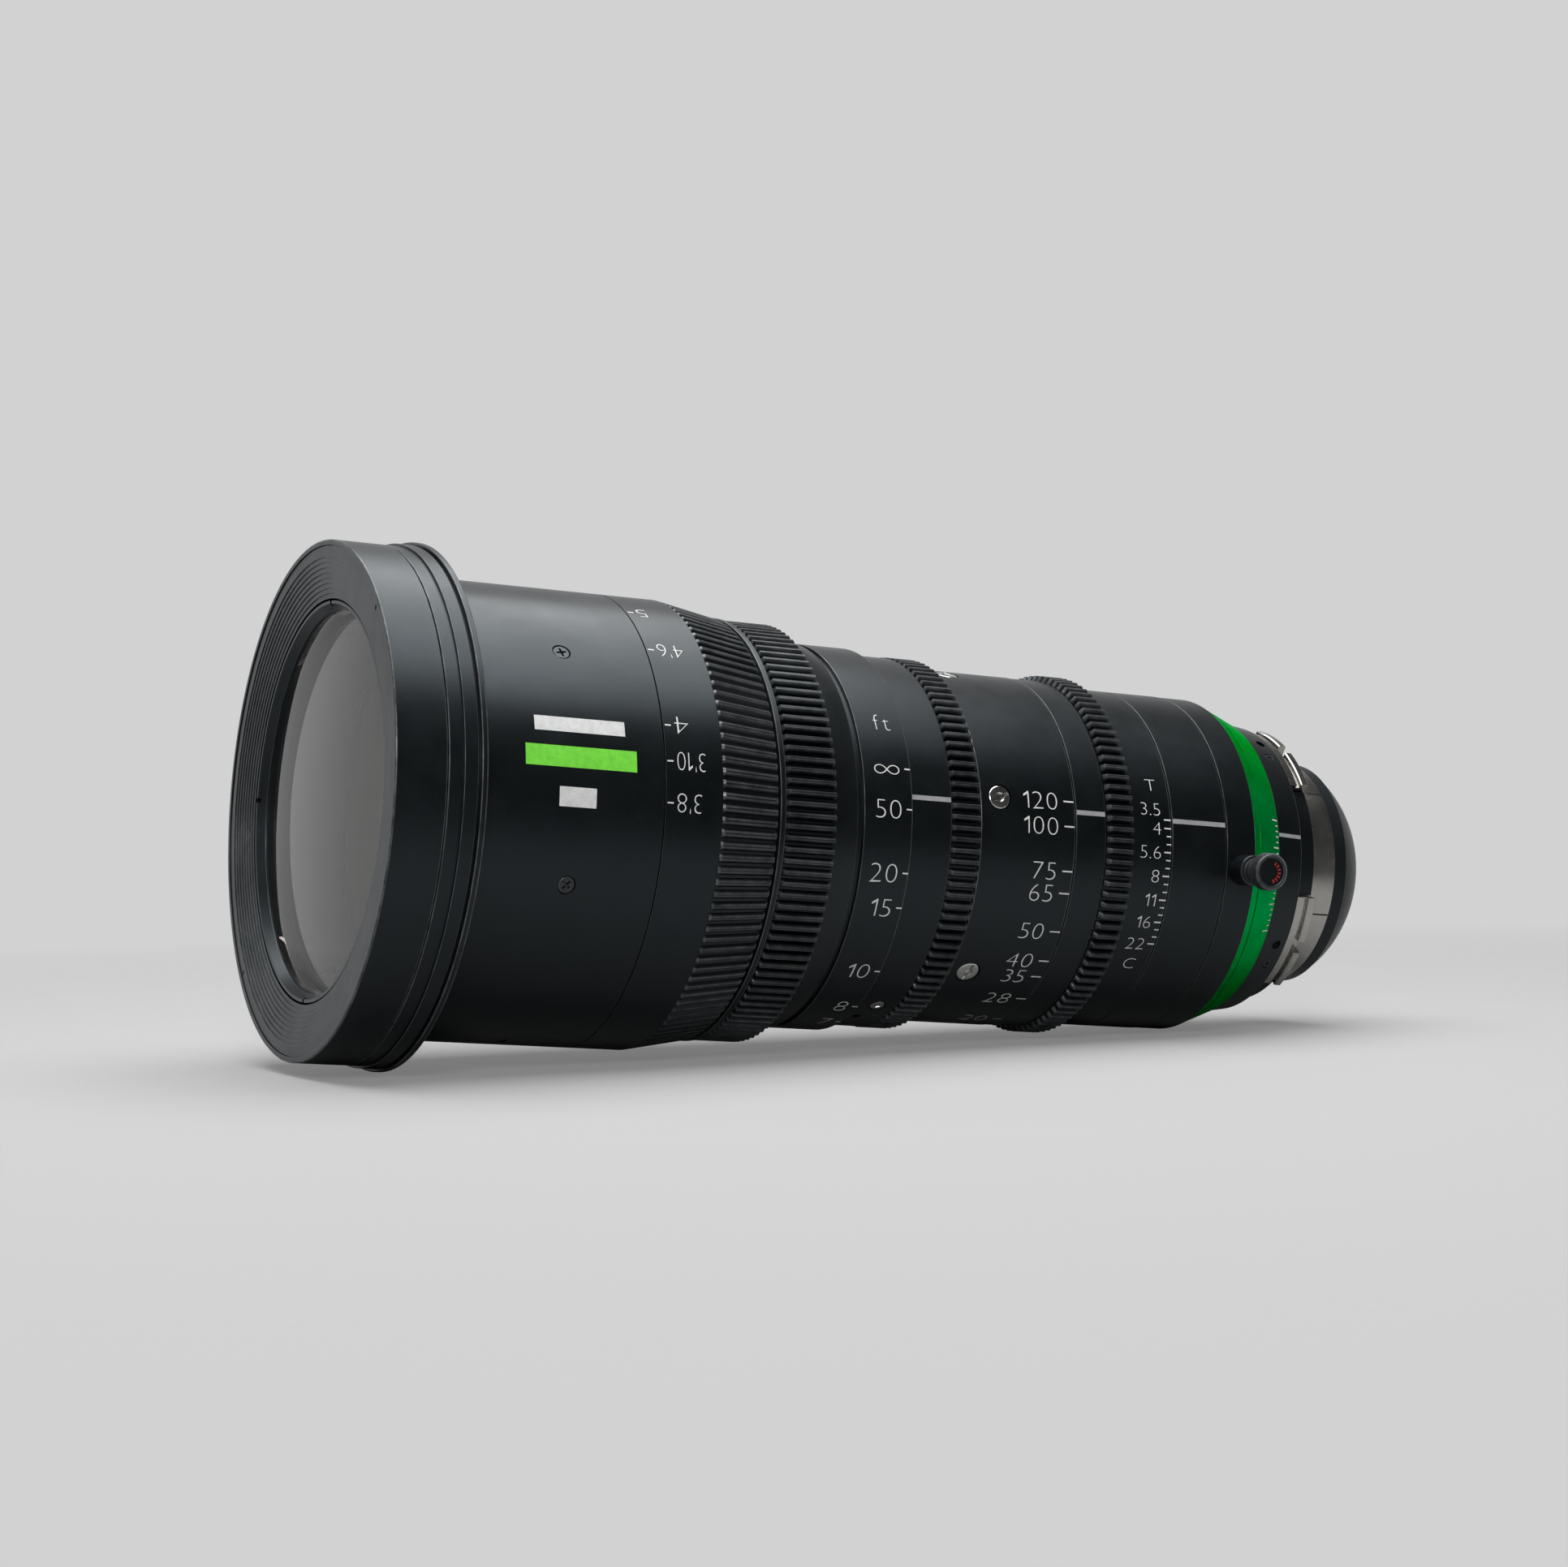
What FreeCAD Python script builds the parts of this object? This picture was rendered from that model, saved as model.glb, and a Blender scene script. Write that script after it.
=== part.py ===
import FreeCAD, Part

import math
import os

import Sketcher

# Cinema zoom lens, in millimetres. The optical axis is X, with the mount to the rear at +X and the origin on
# the axis at the mount's seat. Z is up. Lens angles count from -Y upwards, so 90 is at the top.

SIZES = {
    # Fits and joints between pieces
    "joint_gap": (0.3, "axial gap where a turning ring meets a fixed one"),
    "seat_gap": (0.03, "clearance of pieces that are fixed together"),
    "running_gap": (0.08, "radial clearance of pieces that turn or slide"),
    "slot_gap": (0.1, "clearance at each side of a pin in its slot"),
    "index_roll": (13.3, "lens angle of the index lines"),
    # Front ring and its steps
    "front_radius": (57.0, "outer radius of the front ring"),
    "front_length": (11.4, "length of the front ring"),
    "front_chamfer": (0.4, "chamfer at the front rim"),
    "front_lip": (1.2, "width of the front lip"),
    "front_face_depth": (0.3, "how far the flat band lies behind the lip"),
    "front_band_width": (2.6, "width of the flat band"),
    "step_width": (1.11, "width of one front step"),
    "step_height": (0.2375, "height of one front step"),
    "step_count": (8, "number of front steps"),
    "front_web": (4.4, "depth of the front ring's web"),
    # Flange ring
    "flange_gap": (0.2, "joint line between front ring and flange ring"),
    "flange_length": (8.3, "length of the flange ring"),
    "flange_step": (0.55, "how far it stands out behind the step line"),
    "flange_step_at": (3.3, "place of the step line"),
    "flange_groove_at": (6.0, "place of the groove"),
    "flange_groove_width": (1.0, "width of the groove"),
    "flange_groove_depth": (1.2, "depth of the groove"),
    "flange_rim": (1.2, "how far the proud rear rim stands out"),
    # Front barrel and front cell
    "barrel_inset": (6.0, "how far the front barrel lies inside the front ring's radius"),
    "barrel_wall": (3.0, "wall of the front barrel"),
    "barrel_length": (42.7, "barrel length behind the flange ring"),
    "barrel_overlap": (11.7, "barrel length inside the flange and front rings"),
    "retainer_gap": (0.42, "clearance between the steps and the retaining ring"),
    "retainer_step": (2.4, "front of the retaining ring behind the rim"),
    "retainer_length": (4.0, "length of the retaining ring"),
    "retainer_face": (0.7, "width of the retaining ring's flat face"),
    "retainer_cone": (1.9, "depth of the retaining ring's cone"),
    "retainer_width": (1.9, "radial width of the retaining ring"),
    "spanner_notch": (1.0, "width of a spanner notch"),
    "spanner_depth": (0.8, "depth of a spanner notch"),
    "spanner_count": (4, "number of spanner notches"),
    "front_glass_seat": (0.4, "how far the front glass reaches under the retaining ring"),
    "front_glass_edge": (6.5, "edge thickness of the front glass"),
    "front_curve": (200.0, "curve of the front surface"),
    "front_rear_curve": (300.0, "curve of the surface behind it"),
    "cell_length": (31.4, "length of the front cell"),
    "cell_land": (2.0, "width of the cell's shoulder ring"),
    "cell_shoulder": (2.4, "width of the shoulder behind the front glass"),
    "doublet_inset": (3.4, "how much smaller the second glass is than the front one"),
    "doublet_edge": (9.0, "edge thickness of the second glass"),
    "doublet_curve": (190.0, "curve of the second glass"),
    "doublet_space": (10.0, "space between the front glasses"),
    "doublet_lip": (2.0, "width of the lip behind the second glass"),
    # Main tube, zoom sleeve and rear tube
    "cup_length": (24.0, "length of the main tube's front cup"),
    "cup_wall": (3.0, "wall of the cup"),
    "web_length": (4.0, "thickness of the tube's webs"),
    "tube_radius": (40.6, "outer radius of the main tube"),
    "tube_wall": (3.0, "wall of the main tube"),
    "sleeve_radius": (36.0, "outer radius of the zoom sleeve"),
    "sleeve_wall": (3.0, "wall of the zoom sleeve"),
    "sleeve_lead": (30.0, "sleeve length ahead of index ring 1"),
    "sleeve_seat": (4.7, "sleeve length inside index ring 3"),
    "rear_tube_radius": (32.0, "outer radius of the rear tube"),
    "rear_tube_wall": (3.0, "wall of the rear tube"),
    "rear_neck_radius": (30.0, "neck radius at the mount"),
    "rear_throat": (26.0, "bore of the rear tube at the mount"),
    "rear_throat_length": (4.0, "length of that bore ahead of the neck"),
    # Gears
    "gear_module": (0.8, "module of the three gears"),
    "gear_flank": (20.0, "flank angle of the gear teeth"),
    "gear_root_modules": (2.5, "modules between a gear's pitch diameter and its root"),
    "focus_teeth": (118, "teeth of the focus gear"),
    "zoom_teeth": (106, "teeth of the zoom gear"),
    "iris_teeth": (104, "teeth of the iris gear"),
    # Focus ring
    "focus_smooth": (13.3, "length of the smooth band"),
    "grip_length": (15.1, "length of the ribbed grip"),
    "grip_drop": (2.8, "how much the grip's radius falls"),
    "rib_count": (118, "number of grip ribs"),
    "rib_depth": (0.7, "depth of the grooves between ribs"),
    "rib_gap": (1.3, "width of the grooves between ribs"),
    "rib_foot_share": (0.5, "width of a groove's floor as a share of its top"),
    "rib_margin": (0.5, "plain land left at either end of the ribs"),
    "focus_lip_radius": (48.3, "radius of the lip behind the grip"),
    "focus_lip_length": (1.3, "length of the lip"),
    "gear_relief": (0.6, "groove between lip and gear"),
    "focus_gear_length": (12.3, "face width of the focus gear"),
    "focus_cone_length": (6.5, "length of the cone behind the gear"),
    "focus_groove_radius": (43.6, "radius of the groove ahead of the scale"),
    "focus_groove_length": (1.6, "length of that groove"),
    "focus_scale_radius": (44.3, "radius of the scale band"),
    "focus_scale_length": (11.95, "length of the scale band"),
    "focus_front_wall": (3.5, "wall of the focus ring round its counterbore"),
    "focus_counterbore_depth": (6.0, "depth of that counterbore"),
    # Focus cell and its guide
    "focus_min": (9.0, "turn from rest past the far mark"),
    "focus_max": (190.0, "turn from rest to the near end"),
    "focus_travel": (12.0, "slide of the focus cell over the whole turn"),
    "focus_pin_at": (21.1, "pins behind the front of the focus ring, at rest"),
    "focus_cell_length": (14.0, "length of the focus cell"),
    "guide_pin_radius": (2.0, "radius of the guide pins"),
    "guide_pin_count": (3, "number of guide pins to a cell"),
    "guide_pin_seat": (2.5, "how deep a guide pin sits in its cell"),
    "glass_lip": (1.5, "width of the lip that a cell holds its glass with"),
    "groove_depth": (1.9, "depth of the helical grooves in the focus ring"),
    "focus_glass_radius": (34.0, "edge radius of the focus glass"),
    "focus_glass_edge": (7.0, "edge thickness of the focus glass"),
    "focus_glass_curve": (160.0, "curve of the focus glass"),
    # Index rings
    "index1_radius": (43.0, "radius of index ring 1"),
    "index1_length": (10.25, "length of index ring 1"),
    "index2_radius": (41.1, "radius of index ring 2"),
    "index2_length": (7.85, "length of index ring 2"),
    "index3_radius": (40.1, "radius of index ring 3"),
    "index3_length": (14.6, "length of index ring 3"),
    # Zoom ring and cam drum
    "zoom_gear_length": (7.6, "face width of the zoom gear"),
    "zoom_neck_radius": (40.6, "radius of the neck behind the gear"),
    "zoom_neck_length": (0.5, "length of that neck"),
    "zoom_radius": (41.2, "radius of the zoom scale"),
    "zoom_scale_length": (24.35, "length of the zoom scale"),
    "zoom_screw_at": (13.1, "drive screws behind the front of the zoom ring"),
    "zoom_screw_angle": (16.3, "lens angle of the first drive screw"),
    "zoom_screw_count": (3, "number of drive screws"),
    "screw_head_radius": (2.95, "radius of a drive screw's head"),
    "screw_head_depth": (1.6, "thickness of a drive screw's head"),
    "screw_shank_radius": (1.9, "radius of a drive screw's shank"),
    "drum_wall": (2.0, "wall of the cam drum"),
    "drum_lead": (52.0, "drum length ahead of the drive screws"),
    "drum_trail": (21.0, "drum length behind the drive screws"),
    "zoom_min": (3.6, "turn from rest to the long end"),
    "zoom_max": (86.0, "turn from rest to the wide end"),
    "variator_travel": (38.0, "slide of the variator over the whole turn"),
    "compensator_travel": (10.0, "slide of the compensator over the whole turn"),
    "variator_ahead": (9.0, "variator pins ahead of the drive screws, at rest"),
    "compensator_behind": (6.9, "compensator pins behind the drive screws, at rest"),
    "slide_cell_length": (10.0, "length of the variator and compensator cells"),
    "cell_glass_radius": (25.0, "edge radius of the glass in these cells"),
    "cell_glass_edge": (3.5, "edge thickness of the glass in these cells"),
    "cell_glass_curve": (90.0, "curve of the glass in these cells"),
    "variator_edge": (6.0, "edge thickness of the hollow variator glass"),
    "variator_curve": (150.0, "curve of the variator glass"),
    # Relay cell, iris and its blades
    "relay_length": (9.5, "length of the relay cell"),
    "relay_ahead": (5.3, "rear of the relay cell ahead of the iris ring's front"),
    "iris_gear_length": (6.9, "face width of the iris gear"),
    "iris_radius": (40.1, "radius of the iris scale"),
    "iris_scale_length": (10.8, "length of the iris scale"),
    "iris_turn": (50.2, "turn of the iris ring from open to closed"),
    "blade_turn": (36.0, "turn of a blade from open to closed"),
    "blade_count": (9, "number of iris blades"),
    "iris_base_at": (6.3, "iris base plate behind the iris ring's front"),
    "iris_base_thickness": (2.0, "thickness of the iris base plate"),
    "iris_opening": (13.2, "radius of the opening in the plates"),
    "pivot_radius": (21.0, "distance of a blade's pivot from the axis"),
    "drive_arm": (8.0, "distance of a blade's drive pin from its pivot"),
    "drive_arm_angle": (100.0, "angle of that arm to the pivot's radius"),
    "blade_pin_radius": (0.9, "radius of a blade's pins"),
    "blade_inner": (13.08, "inner radius of a blade when open"),
    "blade_outer": (18.6, "outer radius of a blade when open"),
    "blade_start": (10.0, "angle of a blade's heel behind its pivot"),
    "blade_span": (115.0, "angle of a blade's tip ahead of its pivot"),
    "blade_tip_share": (0.55, "radius of a blade's round tip as a share of its width"),
    "blade_boss": (2.1, "half width of a blade's arm"),
    "blade_thickness": (0.12, "thickness of a blade"),
    "blade_pitch": (0.2, "distance from one blade to the next"),
    "cam_thickness": (3.0, "thickness of the iris cam disc"),
    "cam_slot_depth": (1.6, "how deep a drive pin reaches into its slot"),
    "key_radius": (1.0, "radius of the iris drive keys"),
    "key_count": (3, "number of iris drive keys"),
    "key_seat": (1.6, "how deep a key sits at either end"),
    "retaining_thickness": (2.0, "thickness of the iris retaining ring"),
    "retaining_bore": (28.0, "bore of the iris retaining ring"),
    # Macro ring, its cell and its knob
    "macro_radius": (40.0, "radius of the black macro band"),
    "macro_black_length": (7.7, "length of the black macro band"),
    "macro_band_length": (9.1, "length of the coloured band"),
    "macro_band_front": (39.9, "radius of the coloured band at its front"),
    "macro_band_rear": (36.2, "radius of the coloured band at its rear"),
    "macro_line_at": (2.0, "place of the line in the coloured band"),
    "macro_line_width": (0.35, "width of that line"),
    "macro_line_depth": (0.3, "depth of that line"),
    "macro_sleeve": (34.5, "radius of the macro ring under the coloured band"),
    "macro_min": (5.1, "turn from rest to the one end"),
    "macro_max": (36.6, "turn from rest to the other end"),
    "macro_travel": (3.0, "slide of the macro cell over the whole turn"),
    "macro_pin_at": (3.3, "macro pins behind the front of the macro ring, at rest"),
    "macro_pin_radius": (1.5, "radius of the macro pins"),
    "macro_groove_depth": (1.5, "depth of the grooves in the macro ring"),
    "macro_cell_length": (10.0, "length of the macro cell"),
    "macro_glass_inset": (1.0, "how much smaller the macro glass is than the zoom glasses"),
    "knob_at": (4.5, "knob behind the front of the macro ring"),
    "knob_angle": (-1.2, "lens angle of the knob at rest"),
    "knob_travel": (2.5, "how far the knob pulls out"),
    "knob_pin_radius": (1.5, "radius of the knob's pin"),
    "knob_pin_reach": (0.8, "how deep the pin reaches into its stop groove"),
    "boss_radius": (3.6, "radius of the knob's boss"),
    "boss_top": (44.8, "distance of the boss's top from the axis"),
    "boss_seat": (1.0, "how deep the boss sits in the ring"),
    "knob_neck_radius": (3.2, "radius of the knob's neck"),
    "knob_waist_radius": (2.9, "radius of the neck's lower step"),
    "knob_step": (47.0, "distance of the neck's step from the axis"),
    "knob_head_radius": (4.35, "radius of the knob's head"),
    "knob_head_base": (49.2, "distance of the head's underside from the axis"),
    "knob_top": (52.4, "distance of the knob's top from the axis"),
    "knob_rim": (1.15, "width of the rim round the knob's face"),
    "knob_face_depth": (0.4, "depth of the knob's face"),
    # Base ring, mount and rear shroud
    "base_length": (7.13, "length of the base ring"),
    "base_front_radius": (35.6, "radius of the base ring at its front"),
    "base_rear_radius": (34.5, "radius of the base ring at its rear"),
    "wing_gap": (2.57, "distance from base ring to wings"),
    "wing_thickness": (2.6, "thickness of the mount's wings"),
    "wing_radius": (34.4, "radius of the wings"),
    "wing_chamfer": (0.25, "chamfer at the rims of the wings"),
    "wing_web_radius": (33.9, "radius of the webs ahead of the wings"),
    "wing_web_length": (2.2, "length of the webs"),
    "wing_groove_radius": (33.0, "radius of the groove's floor between web and wing"),
    "wing_groove_length": (1.0, "width of the groove between web and wing"),
    "wing_angle": (42.4, "angle that a wing spans"),
    "wing_count": (4, "number of wings"),
    "wing_notch": (3.2, "width of the notch in a wing"),
    "wing_notch_depth": (2.6, "depth of the notch in a wing"),
    "hub_radius": (29.9, "radius of the flange between its wings"),
    "lug_radius": (31.8, "outer radius of the black blocks"),
    "lug_clearance": (0.4, "angle between a block and a wing"),
    "spigot_radius": (27.0, "radius of the spigot"),
    "spigot_wall": (3.0, "wall of the spigot"),
    "spigot_length": (9.3, "length of the spigot behind the seat"),
    "shroud_plug": (5.0, "length of the shroud inside the spigot"),
    "shroud_radius": (26.7, "radius of the shroud's shoulder"),
    "shroud_shoulder": (3.3, "length of the shoulder"),
    "shroud_cone_front": (26.5, "radius where the shroud's cone starts"),
    "shroud_cone_rear": (18.0, "radius where the shroud's cone ends"),
    "shroud_cone_length": (8.9, "length of the shroud's cone"),
    "shroud_curve": (26.0, "curve of the shroud's cone"),
    "rear_glass_radius": (15.0, "edge radius of the rear glass"),
    "rear_glass_edge": (4.0, "edge thickness of the rear glass"),
    "rear_glass_curve": (45.0, "curve of the rear glass"),
    "rear_opening": (14.2, "radius of the opening behind the rear glass"),
    "rear_lip": (1.2, "thickness of the lip behind the rear glass"),
}


class Size:
    """A size as a number and as the expression that binds it to the sheet."""

    def __init__(self, value, text=None):
        self.value = float(value)
        self.text = text if text is not None else repr(float(value))
        self.bound = text is not None

    def joined(self, other, value, sign, turned=False):
        other = as_size(other)
        first, second = (other, self) if turned else (self, other)
        text = f"({first.text} {sign} {second.text})"
        return Size(value, text if self.bound or other.bound else None)

    def __add__(self, other):
        return self.joined(other, self.value + as_size(other).value, "+")

    __radd__ = __add__

    def __sub__(self, other):
        return self.joined(other, self.value - as_size(other).value, "-")

    def __rsub__(self, other):
        return self.joined(other, as_size(other).value - self.value, "-", turned=True)

    def __mul__(self, other):
        return self.joined(other, self.value * as_size(other).value, "*")

    __rmul__ = __mul__

    def __truediv__(self, other):
        return self.joined(other, self.value / as_size(other).value, "/")

    def __rtruediv__(self, other):
        return self.joined(other, as_size(other).value / self.value, "/", turned=True)

    def __neg__(self):
        return 0 - self


def as_size(item):
    """A plain number as a size that isn't bound to the sheet."""
    return item if isinstance(item, Size) else Size(item)


def root(size):
    """The square root of a size."""
    return Size(math.sqrt(size.value), f"sqrt({size.text})")


def cosine(angle):
    """The cosine of an angle in degrees."""
    angle = as_size(angle)
    return Size(math.cos(math.radians(angle.value)), f"cos(({angle.text}) * 1 deg)")


def sine(angle):
    """The sine of an angle in degrees."""
    angle = as_size(angle)
    return Size(math.sin(math.radians(angle.value)), f"sin(({angle.text}) * 1 deg)")


class Dimensions:
    """The driving sizes by name, as d.front_radius."""

    def __getattr__(self, name):
        return Size(SIZES[name][0], "sizes." + name)


d = Dimensions()
doc = FreeCAD.newDocument("CinemaZoomLens")
bodies = []
HALF_TURN = 180
FULL_TURN = 360
DEGREES = HALF_TURN / math.pi
OVERCUT = 1.0
TOP = 90
BETWEEN_TOP_PINS = 150
X_AXIS = FreeCAD.Vector(1, 0, 0)
Y_AXIS = FreeCAD.Vector(0, 1, 0)
Z_AXIS = FreeCAD.Vector(0, 0, 1)


def write_sheet():
    """Puts each size on a row of its own: its name, its value and what it is."""
    sheet = doc.addObject("Spreadsheet::Sheet", "sizes")
    for row, (name, (value, meaning)) in enumerate(SIZES.items(), start=1):
        sheet.set(f"A{row}", name)
        sheet.set(f"B{row}", str(value))
        sheet.setAlias(f"B{row}", name)
        sheet.set(f"C{row}", meaning)
    doc.recompute()


# Sketches and features


def bind(thing, path, size):
    """Binds a property of an object to the sheet."""
    size = as_size(size)
    if size.bound:
        thing.setExpression(path, size.text)


def origin_part(body, role):
    """The plane or axis of a body's origin with this role."""
    return [item for item in body.Origin.OriginFeatures if item.Role == role][0]


def new_body(label, station, roll=0):
    """A body at a station on the optical axis, rolled about that axis."""
    body = doc.addObject("PartDesign::Body", label)
    body.Label = label
    station = as_size(station)
    roll = as_size(roll)
    turn = FreeCAD.Rotation(X_AXIS, roll.value)
    body.Placement = FreeCAD.Placement(FreeCAD.Vector(station.value, 0, 0), turn)
    bind(body, "Placement.Base.x", station)
    if roll.bound:
        body.setExpression("Placement.Rotation.Angle", roll.text)
    bodies.append(body)
    return body


def new_sketch(body, role, offset=(0, 0, 0), turn_axis=Z_AXIS, turn=0):
    """A sketch on one of the body's origin planes, moved and turned in that plane's own directions."""
    sketch = body.newObject("Sketcher::SketchObject", body.Name + "_sketch")
    sketch.AttachmentSupport = (origin_part(body, role), "")
    sketch.MapMode = "FlatFace"
    offset = [as_size(part) for part in offset]
    turn = as_size(turn)
    rotation = FreeCAD.Rotation(turn_axis, turn.value)
    base = FreeCAD.Vector(*[part.value for part in offset])
    sketch.AttachmentOffset = FreeCAD.Placement(base, rotation)
    for letter, part in zip("xyz", offset):
        bind(sketch, f".AttachmentOffset.Base.{letter}", part)
    bind(sketch, ".AttachmentOffset.Rotation.Angle", turn)
    return sketch


def fix_point(sketch, edge, end, place):
    """Holds one end or centre of an edge at its distances from the sketch's origin."""
    for kind, axis, part in (("DistanceX", -2, place[0]), ("DistanceY", -1, place[1])):
        part = as_size(part)
        if not part.bound and part.value == 0:
            sketch.addConstraint(Sketcher.Constraint("PointOnObject", edge, end, axis))
            continue
        number = sketch.addConstraint(Sketcher.Constraint(kind, -1, 1, edge, end, part.value))
        bind(sketch, f"Constraints[{number}]", part)


def fix_radius(sketch, edge, radius):
    """Sets the radius of a circle or an arc."""
    radius = as_size(radius)
    number = sketch.addConstraint(Sketcher.Constraint("Radius", edge, radius.value))
    bind(sketch, f"Constraints[{number}]", radius)


def flat(place):
    """A sketch place as a vector."""
    return FreeCAD.Vector(as_size(place[0]).value, as_size(place[1]).value, 0)


def arc_edge(start, end, radius, bend):
    """The short arc between two places: it bends left for bend 1 and right for -1."""
    chord = end - start
    height = math.sqrt(radius * radius - chord.Length * chord.Length / 4)
    side = FreeCAD.Vector(-chord.y, chord.x, 0).normalize() * (height * bend)
    centre = (start + end) * 0.5 + side
    first, last = (start, end) if bend > 0 else (end, start)
    from_angle = math.atan2(first.y - centre.y, first.x - centre.x)
    to_angle = math.atan2(last.y - centre.y, last.x - centre.x)
    if to_angle < from_angle:
        to_angle += 2 * math.pi
    return Part.ArcOfCircle(Part.Circle(centre, Z_AXIS, radius), from_angle, to_angle)


def draw_outline(sketch, points):
    """A closed outline. A point is (u, v), or (u, v, radius, bend) where an arc runs to the next point."""
    count = len(points)
    ends = []
    for number, point in enumerate(points):
        start = flat(point)
        end = flat(points[(number + 1) % count])
        if len(point) == 2:
            sketch.addGeometry(Part.LineSegment(start, end), False)
            ends.append((1, 2))
        else:
            sketch.addGeometry(arc_edge(start, end, as_size(point[2]).value, point[3]), False)
            ends.append((1, 2) if point[3] > 0 else (2, 1))
    for number in range(count):
        following = (number + 1) % count
        joint = Sketcher.Constraint("Coincident", number, ends[number][1], following, ends[following][0])
        sketch.addConstraint(joint)
    for number, point in enumerate(points):
        fix_point(sketch, number, ends[number][0], point)
        if len(point) == 4:
            fix_radius(sketch, number, point[2])


def draw_circle(sketch, centre, radius):
    """A circle at a place."""
    sketch.addGeometry(Part.Circle(flat(centre), Z_AXIS, as_size(radius).value), False)
    fix_point(sketch, 0, 3, centre)
    fix_radius(sketch, 0, radius)


def draw_slot(sketch, first, last, half_width):
    """A slot with round ends between two centres."""
    start = flat(first)
    end = flat(last)
    width = as_size(half_width).value
    along = math.atan2(end.y - start.y, end.x - start.x)
    side = FreeCAD.Vector(-math.sin(along), math.cos(along), 0) * width
    quarter = math.pi / 2
    left = Part.ArcOfCircle(Part.Circle(start, Z_AXIS, width), along + quarter, along + 3 * quarter)
    right = Part.ArcOfCircle(Part.Circle(end, Z_AXIS, width), along - quarter, along + quarter)
    sketch.addGeometry(left, False)
    sketch.addGeometry(Part.LineSegment(start - side, end - side), False)
    sketch.addGeometry(right, False)
    sketch.addGeometry(Part.LineSegment(end + side, start + side), False)
    for number in range(4):
        sketch.addConstraint(Sketcher.Constraint("Tangent", number, 2, (number + 1) % 4, 1))
    sketch.addConstraint(Sketcher.Constraint("Equal", 0, 2))
    fix_point(sketch, 0, 3, first)
    fix_point(sketch, 2, 3, last)
    fix_radius(sketch, 0, half_width)


def finish_feature(body, feature, cuts=False):
    """Makes a feature the body's tip, and stops where a cut takes nothing away."""
    before = body.Shape.Volume if cuts else 0
    body.Tip = feature
    doc.recompute()
    if cuts and not feature.Shape.Volume < before:
        raise RuntimeError(f"{body.Label}: {feature.Name} takes nothing away")
    return feature


def revolve(body, sketch, axis="X_Axis", angle=FULL_TURN):
    """Revolves an outline about one of the body's axes, to both sides of the sketch."""
    feature = body.newObject("PartDesign::Revolution", body.Name + "_turned")
    feature.Profile = sketch
    feature.ReferenceAxis = (origin_part(body, axis), [""])
    feature.Angle = as_size(angle).value
    feature.Midplane = as_size(angle).value < FULL_TURN
    bind(feature, "Angle", angle)
    return finish_feature(body, feature)


def groove(body, sketch, angle):
    """Cuts an outline round the optical axis, to both sides of the sketch."""
    feature = body.newObject("PartDesign::Groove", body.Name + "_groove")
    feature.Profile = sketch
    feature.ReferenceAxis = (origin_part(body, "X_Axis"), [""])
    feature.Angle = as_size(angle).value
    feature.Midplane = True
    bind(feature, "Angle", angle)
    return finish_feature(body, feature, cuts=True)


def pad(body, sketch, length, backwards=False):
    """Raises an outline by a length."""
    feature = body.newObject("PartDesign::Pad", body.Name + "_pad")
    feature.Profile = sketch
    feature.Length = as_size(length).value
    feature.Reversed = backwards
    bind(feature, "Length", length)
    return finish_feature(body, feature)


def pocket(body, sketch, length, forwards=False):
    """Cuts an outline by a length, against the sketch's normal or along it."""
    feature = body.newObject("PartDesign::Pocket", body.Name + "_pocket")
    feature.Profile = sketch
    feature.Length = as_size(length).value
    feature.Reversed = forwards
    bind(feature, "Length", length)
    return finish_feature(body, feature, cuts=True)


def repeat_round(body, feature, count):
    """Repeats a feature round the optical axis."""
    pattern = body.newObject("PartDesign::PolarPattern", body.Name + "_pattern")
    pattern.Originals = [feature]
    pattern.Axis = (origin_part(body, "X_Axis"), [""])
    pattern.Angle = FULL_TURN
    pattern.Occurrences = int(as_size(count).value)
    bind(pattern, "Occurrences", count)
    return finish_feature(body, pattern)


def facing(angle):
    """The roll that turns local Z to a lens angle."""
    return HALF_TURN / 2 - as_size(angle)


def sideways(angle):
    """The roll that turns local Y, which outlines use for the radius, to a lens angle."""
    return HALF_TURN - as_size(angle)


# Kinds of pieces


def turned(label, station, outline, roll=0):
    """A turned piece: points (distance behind the station, radius)."""
    body = new_body(label, station, roll)
    sketch = new_sketch(body, "XY_Plane")
    draw_outline(sketch, outline)
    revolve(body, sketch)
    return body


def tube(label, station, length, outer, inner, roll=0):
    """A plain turned ring."""
    return turned(label, station, [(0, inner), (length, inner), (length, outer), (0, outer)], roll)


def sag(curve, radius):
    """How far a curved surface stands out over its edge."""
    return curve - root(curve * curve - radius * radius)


def lip_space(curve, radius, lip):
    """How far a glass stands off a lip, because its curve bulges between the lip and its edge."""
    return sag(curve, radius) - sag(curve, lip) + d.seat_gap


def glass(label, station, radius, edge, front, rear, front_bulge=1, rear_bulge=1):
    """A glass element with its edge's front at the station. A bulge is 1 outwards and -1 inwards."""
    front_apex = -front_bulge * sag(front, radius)
    rear_apex = edge + rear_bulge * sag(rear, radius)
    outline = [(front_apex, 0, front, -front_bulge), (0, radius), (edge, radius, rear, -rear_bulge), (rear_apex, 0)]
    return turned(label, station, outline)


def pins(label, station, angle, outline, count):
    """Radial pins: points (half width, distance from the axis)."""
    body = new_body(label, station, facing(angle))
    sketch = new_sketch(body, "XZ_Plane")
    draw_outline(sketch, outline)
    pin = revolve(body, sketch, "Z_Axis")
    if as_size(count).value > 1:
        repeat_round(body, pin, count)
    return body


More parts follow.
